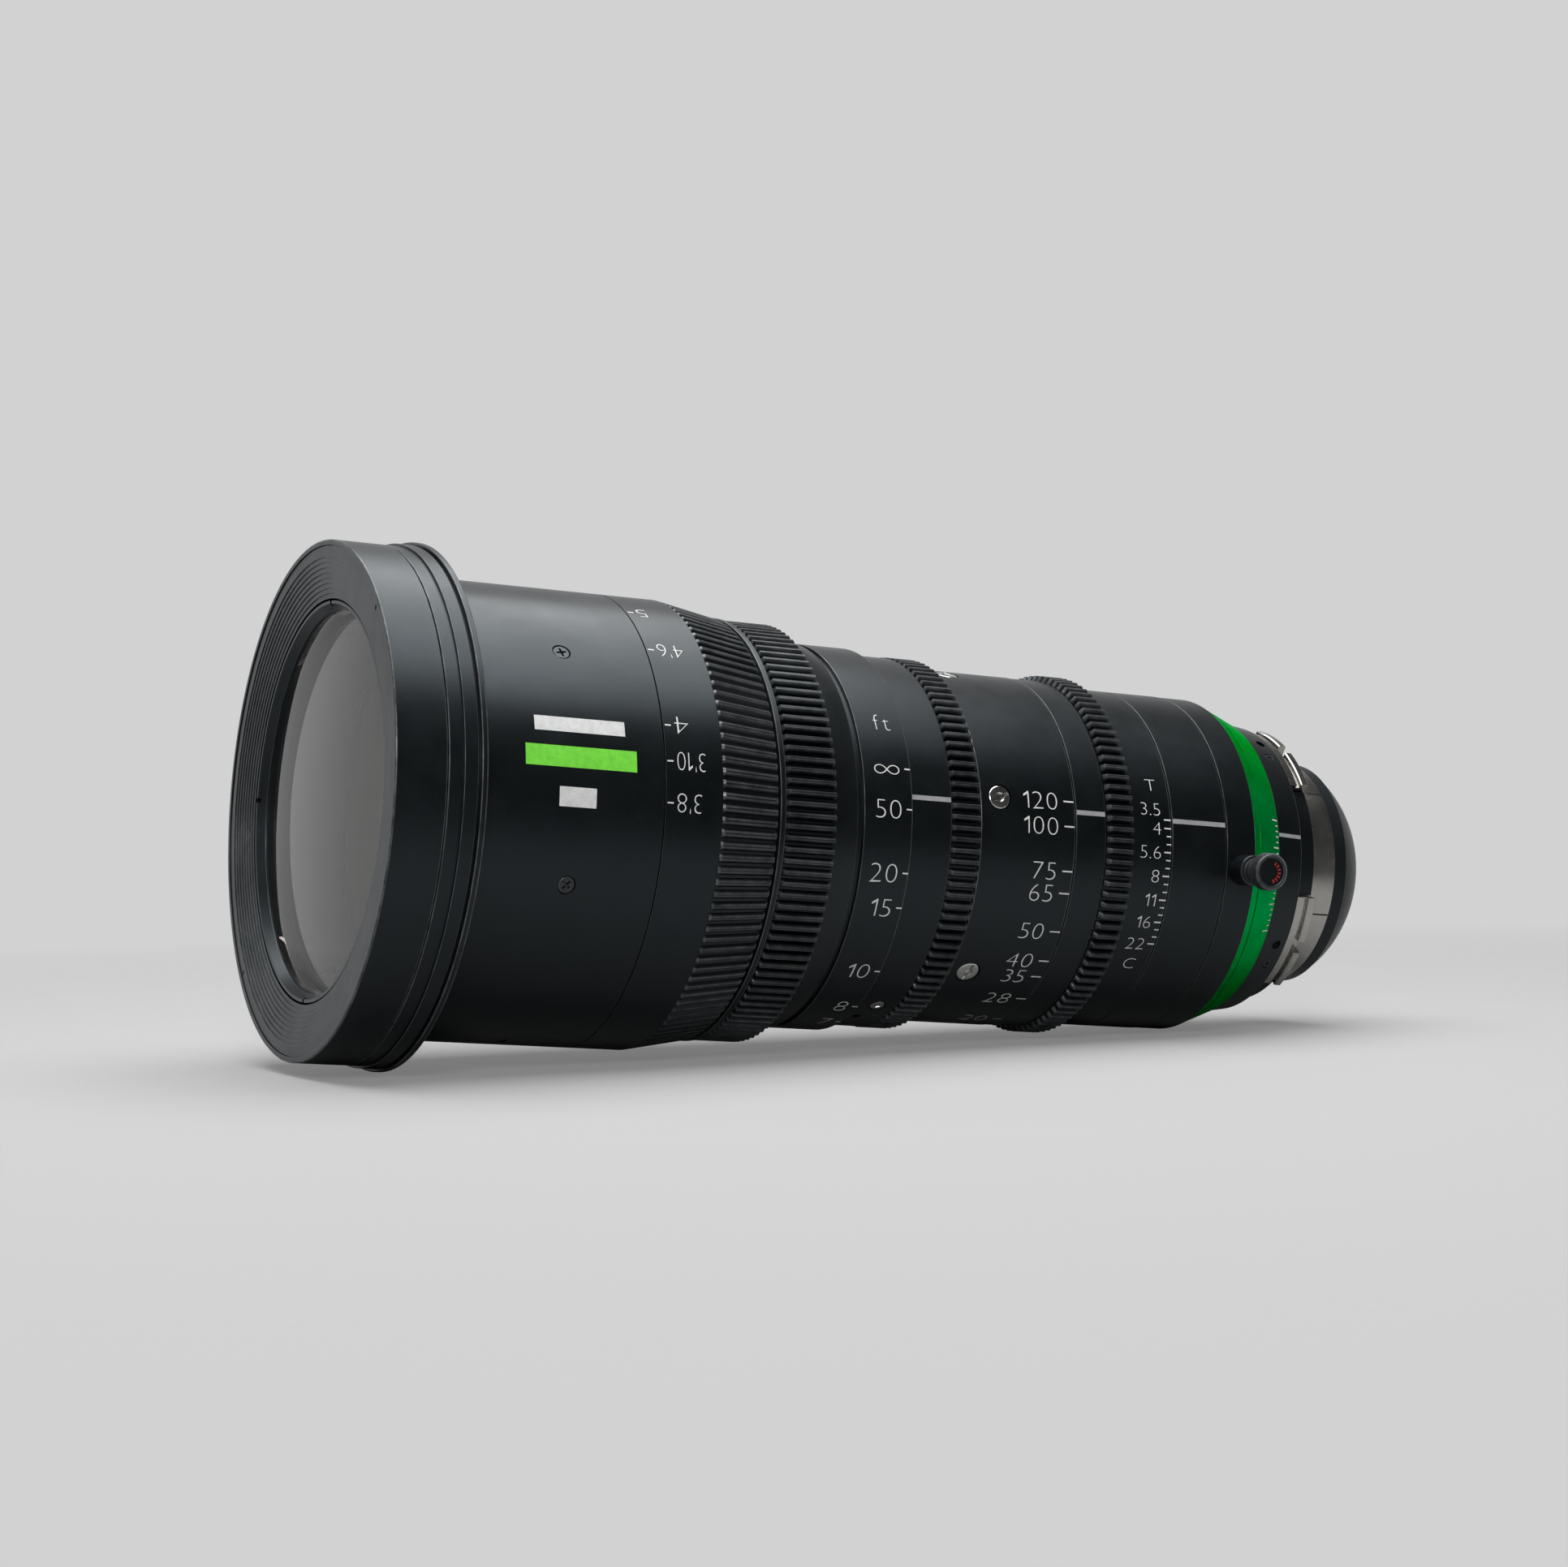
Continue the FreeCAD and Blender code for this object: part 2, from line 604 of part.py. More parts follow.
def plain_pins(label, station, angle, radius, inner, outer, count):
    """Plain cylindrical pins."""
    return pins(label, station, angle, [(0, inner), (radius, inner), (radius, outer), (0, outer)], count)


def radial_sketch(body, angle, outer):
    """A sketch that looks inwards from a radius, at a lens angle counted from the body's own roll."""
    turn = facing(angle)
    lift = (0, -outer * sine(turn), outer * cosine(turn))
    return new_sketch(body, "XY_Plane", lift, X_AXIS, turn)


def radial_holes(body, along, radius, angle, outer, depth, count):
    """Round holes from a radius inwards."""
    sketch = radial_sketch(body, angle, outer)
    draw_circle(sketch, (along, 0), radius)
    hole = pocket(body, sketch, depth)
    if as_size(count).value > 1:
        repeat_round(body, hole, count)


def straight_slots(body, start, end, half_width, angle, outer, depth, count):
    """Slots along the axis for guide pins, between two pin places."""
    sketch = radial_sketch(body, angle, outer)
    draw_slot(sketch, (start, 0), (end, 0), half_width)
    repeat_round(body, pocket(body, sketch, depth), count)


def ring_cut(body, start, end, inner, outer, angle, centre, count):
    """Cuts part of a ring, centred on a lens angle counted from the body's own roll."""
    sketch = new_sketch(body, "XY_Plane", (0, 0, 0), X_AXIS, sideways(centre))
    draw_outline(sketch, [(start, inner), (end, inner), (end, outer), (start, outer)])
    cut = groove(body, sketch, angle)
    if as_size(count).value > 1:
        repeat_round(body, cut, count)


def helical_slots(body, start, width, inner, outer, angle, turn, rise, left, count):
    """Cuts helical slots. The first starts at a lens angle and rises towards the rear over the turn."""
    sketch = new_sketch(body, "XY_Plane", (0, 0, 0), X_AXIS, sideways(angle))
    low = start - width / 2
    high = start + width / 2
    draw_outline(sketch, [(low, inner), (high, inner), (high, outer), (low, outer)])
    feature = body.newObject("PartDesign::SubtractiveHelix", body.Name + "_helix")
    feature.Profile = sketch
    feature.ReferenceAxis = (origin_part(body, "X_Axis"), [""])
    feature.Mode = "pitch-height-angle"
    feature.LeftHanded = left
    pitch = rise * FULL_TURN / turn
    feature.Pitch = pitch.value
    feature.Height = rise.value
    bind(feature, "Pitch", pitch)
    bind(feature, "Height", rise)
    repeat_round(body, finish_feature(body, feature, cuts=True), count)


def gear_tip(teeth):
    """The tip radius of a gear."""
    return (teeth + 2) * d.gear_module / 2


def gear_root(teeth):
    """The root radius of a gear."""
    return (teeth - d.gear_root_modules) * d.gear_module / 2


def cut_teeth(body, start, length, teeth):
    """Cuts the gaps between gear teeth, with the straight flanks of a rack."""
    slope = sine(d.gear_flank) / cosine(d.gear_flank)
    tooth = math.pi * d.gear_module / 2
    tip = gear_tip(teeth)
    gap_top = math.pi * 2 * tip / teeth - tooth + 2 * slope * d.gear_module
    gap_foot = tooth - d.gear_root_modules * slope * d.gear_module
    top = tip + OVERCUT
    spread = gap_top / 2 + OVERCUT * slope
    foot = gear_root(teeth)
    sketch = new_sketch(body, "YZ_Plane", (0, 0, start))
    draw_outline(sketch, [(foot, -gap_foot / 2), (top, -spread), (top, spread), (foot, gap_foot / 2)])
    repeat_round(body, pocket(body, sketch, length, forwards=True), teeth)


# Stations along the axis, from the mount's seat forwards

flange_front = -d.wing_thickness
base_rear = flange_front - d.wing_gap
base_front = base_rear - d.base_length
macro_front = base_front - d.joint_gap - d.macro_band_length - d.macro_black_length
index3_rear = macro_front - d.joint_gap
index3_front = index3_rear - d.index3_length
iris_length = d.iris_gear_length + d.iris_scale_length
iris_front = index3_front - d.joint_gap - iris_length
index2_front = iris_front - d.joint_gap - d.index2_length
zoom_length = d.zoom_gear_length + d.zoom_neck_length + d.zoom_scale_length
zoom_front = index2_front - d.joint_gap - zoom_length
index1_front = zoom_front - d.joint_gap - d.index1_length
grip_end = d.focus_smooth + d.grip_length
focus_gear_at = grip_end + d.focus_lip_length + d.gear_relief
focus_cone_at = focus_gear_at + d.focus_gear_length
focus_groove_at = focus_cone_at + d.focus_cone_length
focus_scale_at = focus_groove_at + d.focus_groove_length
focus_length = focus_scale_at + d.focus_scale_length
focus_front = index1_front - d.joint_gap - focus_length
flange_ring_front = focus_front - d.joint_gap - d.barrel_length - d.flange_length
front_face = flange_ring_front - d.flange_gap - d.front_length

# Radii that several pieces share

barrel_radius = d.front_radius - d.barrel_inset
barrel_inner = barrel_radius - d.barrel_wall
front_bore = d.front_radius - d.front_lip - d.front_band_width - d.step_width * d.step_count
retainer_radius = front_bore - d.retainer_gap
retainer_bore = retainer_radius - d.retainer_width
front_glass_radius = retainer_bore + d.front_glass_seat
doublet_radius = front_glass_radius - d.doublet_inset
tube_inner = d.tube_radius - d.tube_wall
sleeve_inner = d.sleeve_radius - d.sleeve_wall
rear_tube_inner = d.rear_tube_radius - d.rear_tube_wall
drum_outer = sleeve_inner - d.running_gap
drum_inner = drum_outer - d.drum_wall
focus_bore = d.tube_radius + d.running_gap
sleeve_bore = d.sleeve_radius + d.running_gap
macro_bore = d.rear_tube_radius + d.running_gap
slot_half = d.guide_pin_radius + d.slot_gap
macro_slot_half = d.macro_pin_radius + d.slot_gap


# Front: rings, barrel, cell and glass


def front_ring():
    """The ring round the front glass, with its lip, flat band and steps."""
    lip = d.front_radius - d.front_lip
    band = lip - d.front_band_width
    outline = [(d.front_chamfer, d.front_radius), (0, d.front_radius - d.front_chamfer), (0, lip)]
    outline += [(d.front_face_depth, lip), (d.front_face_depth, band)]
    for step in range(1, int(d.step_count.value) + 1):
        depth = d.front_face_depth + d.step_height * step
        outline += [(depth, band - d.step_width * (step - 1)), (depth, band - d.step_width * step)]
    barrel_front = d.front_length + d.flange_gap + d.flange_length - d.barrel_overlap
    outline += [(d.front_web, front_bore), (d.front_web, barrel_inner), (barrel_front, barrel_inner)]
    seat = barrel_radius + d.seat_gap
    outline += [(barrel_front, seat), (d.front_length, seat), (d.front_length, d.front_radius)]
    turned("front_ring", front_face, outline)


def flange_ring():
    """The ring behind the front ring, with a step line, a groove and a proud rear rim."""
    seat = barrel_radius + d.seat_gap
    groove_end = d.flange_groove_at + d.flange_groove_width
    stepped = d.front_radius + d.flange_step
    floor = stepped - d.flange_groove_depth
    rim = d.front_radius + d.flange_rim
    outline = [(0, seat), (0, d.front_radius), (d.flange_step_at, d.front_radius), (d.flange_step_at, stepped)]
    outline += [(d.flange_groove_at, stepped), (d.flange_groove_at, floor), (groove_end, floor)]
    outline += [(groove_end, rim), (d.flange_length, rim), (d.flange_length, seat)]
    turned("flange_ring", flange_ring_front, outline)


def front_barrel():
    """The fixed barrel between the flange ring and the focus ring."""
    station = flange_ring_front + d.flange_length - d.barrel_overlap + d.seat_gap
    length = d.barrel_overlap + d.barrel_length - d.seat_gap
    tube("front_barrel", station, length, barrel_radius, barrel_inner)


def front_cell():
    """The cell with the two front glasses, and the ring that holds the first."""
    cell_front = front_face + d.front_web + d.seat_gap
    outer = barrel_inner - d.seat_gap
    thread = retainer_radius + d.seat_gap
    thread_end = d.retainer_step + d.retainer_length - d.front_web
    glass_front = thread_end + lip_space(d.front_curve, front_glass_radius, retainer_bore)
    glass_bore = front_glass_radius + d.seat_gap
    land = glass_front + d.front_glass_edge + d.seat_gap
    waist = front_glass_radius - d.cell_shoulder
    second = land + d.doublet_space
    lip_bore = doublet_radius - d.doublet_lip
    lip = second + d.doublet_edge + lip_space(d.doublet_curve, doublet_radius, lip_bore)
    second_bore = doublet_radius + d.seat_gap
    outline = [(0, outer), (0, thread), (thread_end, thread), (thread_end, glass_bore), (land, glass_bore)]
    outline += [(land, waist), (second, waist), (second, second_bore), (lip, second_bore)]
    outline += [(lip, lip_bore), (d.cell_length, lip_bore), (d.cell_length, outer)]
    turned("front_cell", cell_front, outline)
    glass_at = cell_front + glass_front
    edge = d.front_glass_edge
    glass("front_glass", glass_at, front_glass_radius, edge, d.front_curve, d.front_rear_curve, 1, -1)
    glass("front_inner_glass", cell_front + second, doublet_radius, d.doublet_edge, d.doublet_curve, d.doublet_curve)


def front_retainer():
    """The retaining ring in front of the front glass, with spanner notches."""
    inner = retainer_radius - d.retainer_face
    outline = [(0, retainer_radius), (0, inner), (d.retainer_cone, retainer_bore)]
    outline += [(d.retainer_length, retainer_bore), (d.retainer_length, retainer_radius)]
    body = turned("front_retainer", front_face + d.retainer_step, outline)
    half = d.spanner_notch / 2
    sketch = new_sketch(body, "YZ_Plane")
    far = retainer_radius + OVERCUT
    near = retainer_bore - OVERCUT
    draw_outline(sketch, [(near, -half), (far, -half), (far, half), (near, half)])
    repeat_round(body, pocket(body, sketch, d.spanner_depth, forwards=True), d.spanner_count)


# Fixed tubes


def cell_rear():
    """The station of the front cell's rear end."""
    return front_face + d.front_web + d.seat_gap + d.cell_length


def main_tube():
    """The fixed tube: a cup in the barrel, the bearing of the focus ring and the slots of the focus cell."""
    station = cell_rear() + d.seat_gap
    outer = barrel_inner - d.seat_gap
    web = d.cup_length - d.web_length
    length = index1_front - station
    rear_web = length - d.web_length
    sleeve_seat = d.sleeve_radius + d.seat_gap
    outline = [(0, outer), (d.cup_length, outer), (d.cup_length, d.tube_radius), (length, d.tube_radius)]
    outline += [(length, sleeve_seat), (rear_web, sleeve_seat), (rear_web, tube_inner), (web, tube_inner)]
    outline += [(web, outer - d.cup_wall), (0, outer - d.cup_wall)]
    body = turned("main_tube", station, outline)
    rate = d.focus_travel / (d.focus_min + d.focus_max)
    rest = focus_front + d.focus_pin_at - station
    first = rest - d.focus_max * rate
    last = rest + d.focus_min * rate
    depth = d.tube_wall + OVERCUT
    outer_plane = d.tube_radius + OVERCUT / 2
    straight_slots(body, first, last, slot_half, TOP, outer_plane, depth, d.guide_pin_count)


def zoom_pin_range(rest, travel, outward):
    """The first and last place of a pin that the cam drum moves, in the frame of its rest place."""
    rate = travel / (d.zoom_min + d.zoom_max)
    if outward:
        return rest - d.zoom_min * rate, rest + d.zoom_max * rate
    return rest - d.zoom_max * rate, rest + d.zoom_min * rate


drive_screws = zoom_front + d.zoom_screw_at
variator_at = drive_screws - d.variator_ahead
compensator_at = drive_screws + d.compensator_behind
cam_disc_at = iris_front + d.iris_base_at + d.iris_base_thickness + d.blade_pitch * (d.blade_count + 1)
keys_at = cam_disc_at + d.cam_thickness / 2


def zoom_sleeve():
    """The fixed sleeve: straight slots for both zoom cells, windows for the drive screws and the iris keys."""
    station = index1_front - d.sleeve_lead
    length = index3_front + d.sleeve_seat - station
    body = tube("zoom_sleeve", station, length, d.sleeve_radius, sleeve_inner)
    outer_plane = d.sleeve_radius + OVERCUT / 2
    depth = d.sleeve_wall + OVERCUT
    first, last = zoom_pin_range(variator_at - station, d.variator_travel, False)
    straight_slots(body, first, last, slot_half, TOP, outer_plane, depth, d.guide_pin_count)
    first, last = zoom_pin_range(compensator_at - station, d.compensator_travel, True)
    straight_slots(body, first, last, slot_half, BETWEEN_TOP_PINS, outer_plane, depth, d.guide_pin_count)
    inner_cut = sleeve_inner - OVERCUT / 2
    half = d.screw_shank_radius + d.slot_gap
    screws = drive_screws - station
    span = d.zoom_min + d.zoom_max + 2 * DEGREES * half / sleeve_inner
    centre = d.zoom_screw_angle + (d.zoom_max - d.zoom_min) / 2
    ring_cut(body, screws - half, screws + half, inner_cut, outer_plane, span, centre, d.zoom_screw_count)
    half = d.key_radius + d.slot_gap
    keys = keys_at - station
    span = d.iris_turn + 2 * DEGREES * half / sleeve_inner
    ring_cut(body, keys - half, keys + half, inner_cut, outer_plane, span, TOP + d.iris_turn / 2, d.key_count)


def rear_tube():
    """The fixed tube from index ring 3 to the mount, with the macro cell's slots and the knob's stop groove."""
    station = index3_front + d.sleeve_seat + d.seat_gap
    length = flange_front - station
    neck = base_rear - station
    throat = neck - d.rear_throat_length
    outline = [(0, rear_tube_inner), (0, d.rear_tube_radius), (neck, d.rear_tube_radius)]
    outline += [(neck, d.rear_neck_radius), (length, d.rear_neck_radius), (length, d.rear_throat)]
    outline += [(throat, d.rear_throat), (throat, rear_tube_inner)]
    body = turned("rear_tube", station, outline)
    rate = d.macro_travel / (d.macro_min + d.macro_max)
    rest = macro_front + d.macro_pin_at - station
    first = rest - d.macro_min * rate
    last = rest + d.macro_max * rate
    outer_plane = d.rear_tube_radius + OVERCUT / 2
    depth = d.rear_tube_wall + OVERCUT
    straight_slots(body, first, last, macro_slot_half, TOP, outer_plane, depth, d.guide_pin_count)
    half = d.knob_pin_radius + d.slot_gap
    floor = d.rear_tube_radius - d.knob_pin_reach - d.running_gap
    span = d.macro_min + d.macro_max + 2 * DEGREES * half / floor
    centre = d.knob_angle + (d.macro_max - d.macro_min) / 2
    knob = macro_front + d.knob_at - station
    ring_cut(body, knob - half, knob + half, floor, outer_plane, span, centre, 1)


def index_rings():
    """The three fixed rings that carry the index lines."""
    bore = d.sleeve_radius + d.seat_gap
    tube("index_ring_1", index1_front, d.index1_length, d.index1_radius, bore)
    tube("index_ring_2", index2_front, d.index2_length, d.index2_radius, bore)
    rear_bore = d.rear_tube_radius + d.seat_gap
    outline = [(0, bore), (d.sleeve_seat, bore), (d.sleeve_seat, rear_bore), (d.index3_length, rear_bore)]
    outline += [(d.index3_length, d.index3_radius), (0, d.index3_radius)]
    turned("index_ring_3", index3_front, outline)


# Focus ring and focus cell


def focus_ring():
    """The focus ring: smooth band, ribbed grip, lip, gear, cone, groove, scale band and helical grooves."""
    grip_rear = barrel_radius - d.grip_drop
    lip_end = grip_end + d.focus_lip_length
    foot = gear_root(d.focus_teeth)
    tip = gear_tip(d.focus_teeth)
    counterbore = barrel_radius - d.focus_front_wall
    outline = [(0, counterbore), (0, barrel_radius), (d.focus_smooth, barrel_radius)]
    outline += [(grip_end, grip_rear), (grip_end, d.focus_lip_radius), (lip_end, d.focus_lip_radius)]
    outline += [(lip_end, foot), (focus_gear_at, foot), (focus_gear_at, tip), (focus_cone_at, tip)]
    outline += [(focus_cone_at, foot), (focus_groove_at, d.focus_scale_radius)]
    outline += [(focus_groove_at, d.focus_groove_radius), (focus_scale_at, d.focus_groove_radius)]
    outline += [(focus_scale_at, d.focus_scale_radius), (focus_length, d.focus_scale_radius)]
    outline += [(focus_length, focus_bore), (d.focus_counterbore_depth, focus_bore)]
    outline += [(d.focus_counterbore_depth, counterbore)]
    body = turned("focus_ring", focus_front, outline)
    turn = d.focus_min + d.focus_max
    rate = d.focus_travel / turn
    margin = DEGREES * slot_half / d.tube_radius
    start = d.focus_pin_at - (d.focus_max + margin) * rate
    angle = TOP - d.focus_max - margin
    width = 2 * slot_half
    outer = focus_bore + d.groove_depth
    whole = turn + 2 * margin
    inner = focus_bore - OVERCUT
    helical_slots(body, start, width, inner, outer, angle, whole, whole * rate, True, d.guide_pin_count)
    slope = Size(math.degrees(math.atan(d.grip_drop.value / d.grip_length.value)),
                 f"(atan({d.grip_drop.text} / {d.grip_length.text}) / 1 deg)")
    length = (d.grip_length - 2 * d.rib_margin) / cosine(slope)
    rib_front = d.focus_smooth + d.rib_margin
    rib_radius = barrel_radius - d.grip_drop * d.rib_margin / d.grip_length
    sketch = new_sketch(body, "YZ_Plane", (rib_radius, 0, rib_front), Y_AXIS, -slope)
    half = d.rib_gap / 2
    narrow = half * d.rib_foot_share
    draw_outline(sketch, [(-d.rib_depth, -narrow), (OVERCUT, -half), (OVERCUT, half), (-d.rib_depth, narrow)])
    repeat_round(body, pocket(body, sketch, length, forwards=True), d.rib_count)
    cut_teeth(body, focus_gear_at, d.focus_gear_length, d.focus_teeth)


def held_glass(label, pin_station, radius, edge, curve, bulge=1):
    """The glass of a sliding cell, resting against the edge of the cell's lip."""
    space = lip_space(curve, radius, radius - d.glass_lip) if bulge > 0 else d.seat_gap
    glass(label + "_glass", pin_station - edge / 2 + space, radius, edge, curve, curve, bulge, bulge)


def guided_cell(label, pin_station, length, outer, glass_radius, glass_edge, pin_radius):
    """A cell that slides: a turned body with a glass bore behind a shoulder, and blind holes for its pins."""
    station = pin_station - length / 2
    bore = glass_radius + d.seat_gap
    shoulder = (length - glass_edge) / 2
    lip = glass_radius - d.glass_lip
    outline = [(0, lip), (shoulder, lip), (shoulder, bore), (length, bore), (length, outer), (0, outer)]
    body = turned(label + "_cell", station, outline)
    hole = pin_radius + d.seat_gap
    return body, hole


def focus_group():
    """The focus cell with its glass and guide pins."""
    outer = tube_inner - d.running_gap
    pin_at = focus_front + d.focus_pin_at
    length = d.focus_cell_length
    edge = d.focus_glass_edge
    body, hole = guided_cell("focus", pin_at, length, outer, d.focus_glass_radius, edge, d.guide_pin_radius)
    radial_holes(body, length / 2, hole, TOP, outer + OVERCUT, d.guide_pin_seat + OVERCUT, d.guide_pin_count)
    held_glass("focus", pin_at, d.focus_glass_radius, edge, d.focus_glass_curve)
    reach = focus_bore + d.groove_depth - d.slot_gap
    base = outer - d.guide_pin_seat + d.seat_gap
    plain_pins("focus_pins", pin_at, TOP, d.guide_pin_radius, base, reach, d.guide_pin_count)


# Zoom ring, cam drum, variator and compensator


def zoom_ring():
    """The zoom ring with its gear, neck, scale band and the seats of its drive screws."""
    tip = gear_tip(d.zoom_teeth)
    neck_end = d.zoom_gear_length + d.zoom_neck_length
    outline = [(0, sleeve_bore), (0, tip), (d.zoom_gear_length, tip), (d.zoom_gear_length, d.zoom_neck_radius)]
    outline += [(neck_end, d.zoom_neck_radius), (neck_end, d.zoom_radius), (zoom_length, d.zoom_radius)]
    outline += [(zoom_length, sleeve_bore)]
    body = turned("zoom_ring", zoom_front, outline)
    at = d.zoom_screw_at
    angle = d.zoom_screw_angle
    top = d.zoom_radius + OVERCUT
    head = d.screw_head_radius + d.seat_gap
    shank = d.screw_shank_radius + d.seat_gap
    radial_holes(body, at, head, angle, top, d.screw_head_depth + OVERCUT, d.zoom_screw_count)
    radial_holes(body, at, shank, angle, top, top - sleeve_bore + OVERCUT, d.zoom_screw_count)
    cut_teeth(body, Size(0), d.zoom_gear_length, d.zoom_teeth)


def zoom_drive_screws():
    """The screws that join the zoom ring to the cam drum through the sleeve's windows."""
    under_head = d.zoom_radius - d.screw_head_depth + d.seat_gap
    foot = drum_inner + d.slot_gap
    outline = [(0, foot), (d.screw_shank_radius, foot), (d.screw_shank_radius, under_head)]
    outline += [(d.screw_head_radius, under_head), (d.screw_head_radius, d.zoom_radius), (0, d.zoom_radius)]
    pins("zoom_drive_screws", drive_screws, d.zoom_screw_angle, outline, d.zoom_screw_count)


def slant_width(rate):
    """The width along the axis that a helical slot needs for a guide pin."""
    lead = DEGREES * rate / drum_inner
    return 2 * slot_half * root(1 + lead * lead)


def cam_drum():
    """The drum inside the sleeve: helical slots of both zoom cells and holes for the drive screws."""
    station = drive_screws - d.drum_lead
    length = d.drum_lead + d.drum_trail
    body = tube("cam_drum", station, length, drum_outer, drum_inner)
    turn = d.zoom_min + d.zoom_max
    margin = DEGREES * slot_half / drum_inner
    whole = turn + 2 * margin
    inner = drum_inner - OVERCUT
    outer = drum_outer + OVERCUT
    rate = d.variator_travel / turn
    start = variator_at - station - (d.zoom_max + margin) * rate
    angle = TOP - d.zoom_max - margin
    count = d.guide_pin_count
    helical_slots(body, start, slant_width(rate), inner, outer, angle, whole, whole * rate, True, count)
    rate = d.compensator_travel / turn
    start = compensator_at - station - (d.zoom_min + margin) * rate
    angle = BETWEEN_TOP_PINS + d.zoom_min + margin
    helical_slots(body, start, slant_width(rate), inner, outer, angle, whole, whole * rate, False, count)
    shank = d.screw_shank_radius + d.seat_gap
    plane = drum_outer + OVERCUT
    depth = d.drum_wall + 2 * OVERCUT
    radial_holes(body, d.drum_lead, shank, d.zoom_screw_angle, plane, depth, d.zoom_screw_count)


def zoom_cells():
    """The variator and the compensator: cell, glass and guide pins of each."""
    outer = drum_inner - d.running_gap
    length = d.slide_cell_length
    radius = d.cell_glass_radius
    reach = d.sleeve_radius - d.slot_gap
    base = outer - d.guide_pin_seat + d.seat_gap
    hollow = ("variator", variator_at, TOP, d.variator_edge, d.variator_curve, -1)
    bulging = ("compensator", compensator_at, BETWEEN_TOP_PINS, d.cell_glass_edge, d.cell_glass_curve, 1)
    for label, pin_at, angle, edge, curve, bulge in (hollow, bulging):
        body, hole = guided_cell(label, pin_at, length, outer, radius, edge, d.guide_pin_radius)
        depth = d.guide_pin_seat + OVERCUT
        radial_holes(body, length / 2, hole, angle, outer + OVERCUT, depth, d.guide_pin_count)
        held_glass(label, pin_at, radius, edge, curve, bulge)
        plain_pins(label + "_pins", pin_at, angle, d.guide_pin_radius, base, reach, d.guide_pin_count)


# Relay cell and iris


def relay():
    """The fixed relay cell ahead of the iris, with its glass."""
    pin_at = iris_front - d.relay_ahead + d.relay_length / 2
    outer = sleeve_inner - d.seat_gap
    edge = d.cell_glass_edge
    guided_cell("relay", pin_at, d.relay_length, outer, d.cell_glass_radius, edge, d.guide_pin_radius)
    held_glass("relay", pin_at, d.cell_glass_radius, edge, d.cell_glass_curve)


def iris_ring():
    """The iris ring with its gear, neck, scale band and blind holes for its drive keys."""
    tip = gear_tip(d.iris_teeth)
    outline = [(0, sleeve_bore), (0, tip), (d.iris_gear_length, tip), (d.iris_gear_length, d.iris_radius)]
    outline += [(iris_length, d.iris_radius), (iris_length, sleeve_bore)]
    body = turned("iris_ring", iris_front, outline)
    hole_top = sleeve_bore + d.key_seat + d.seat_gap
    depth = d.key_seat + d.seat_gap + OVERCUT
    radial_holes(body, keys_at - iris_front, d.key_radius + d.seat_gap, TOP, hole_top, depth, d.key_count)
    cut_teeth(body, Size(0), d.iris_gear_length, d.iris_teeth)


def iris_plates():
    """The fixed base plate that carries the blades' pivots, and the ring that keeps the cam disc."""
    outer = sleeve_inner - d.seat_gap
    station = iris_front + d.iris_base_at
    body = tube("iris_base", station, d.iris_base_thickness, outer, d.iris_opening)
    sketch = new_sketch(body, "YZ_Plane")
    draw_circle(sketch, (d.pivot_radius, 0), d.blade_pin_radius + d.running_gap / 2)
    repeat_round(body, pocket(body, sketch, d.iris_base_thickness, forwards=True), d.blade_count)
    retainer_at = cam_disc_at + d.cam_thickness + d.running_gap
    tube("iris_retainer", retainer_at, d.retaining_thickness, outer, d.retaining_bore)


def drive_pin_place(turn):
    """Where a blade's drive pin stands once the blade has swung, in the plane of the blades."""
    angle = d.drive_arm_angle - turn
    return d.pivot_radius + d.drive_arm * cosine(angle), d.drive_arm * sine(angle)


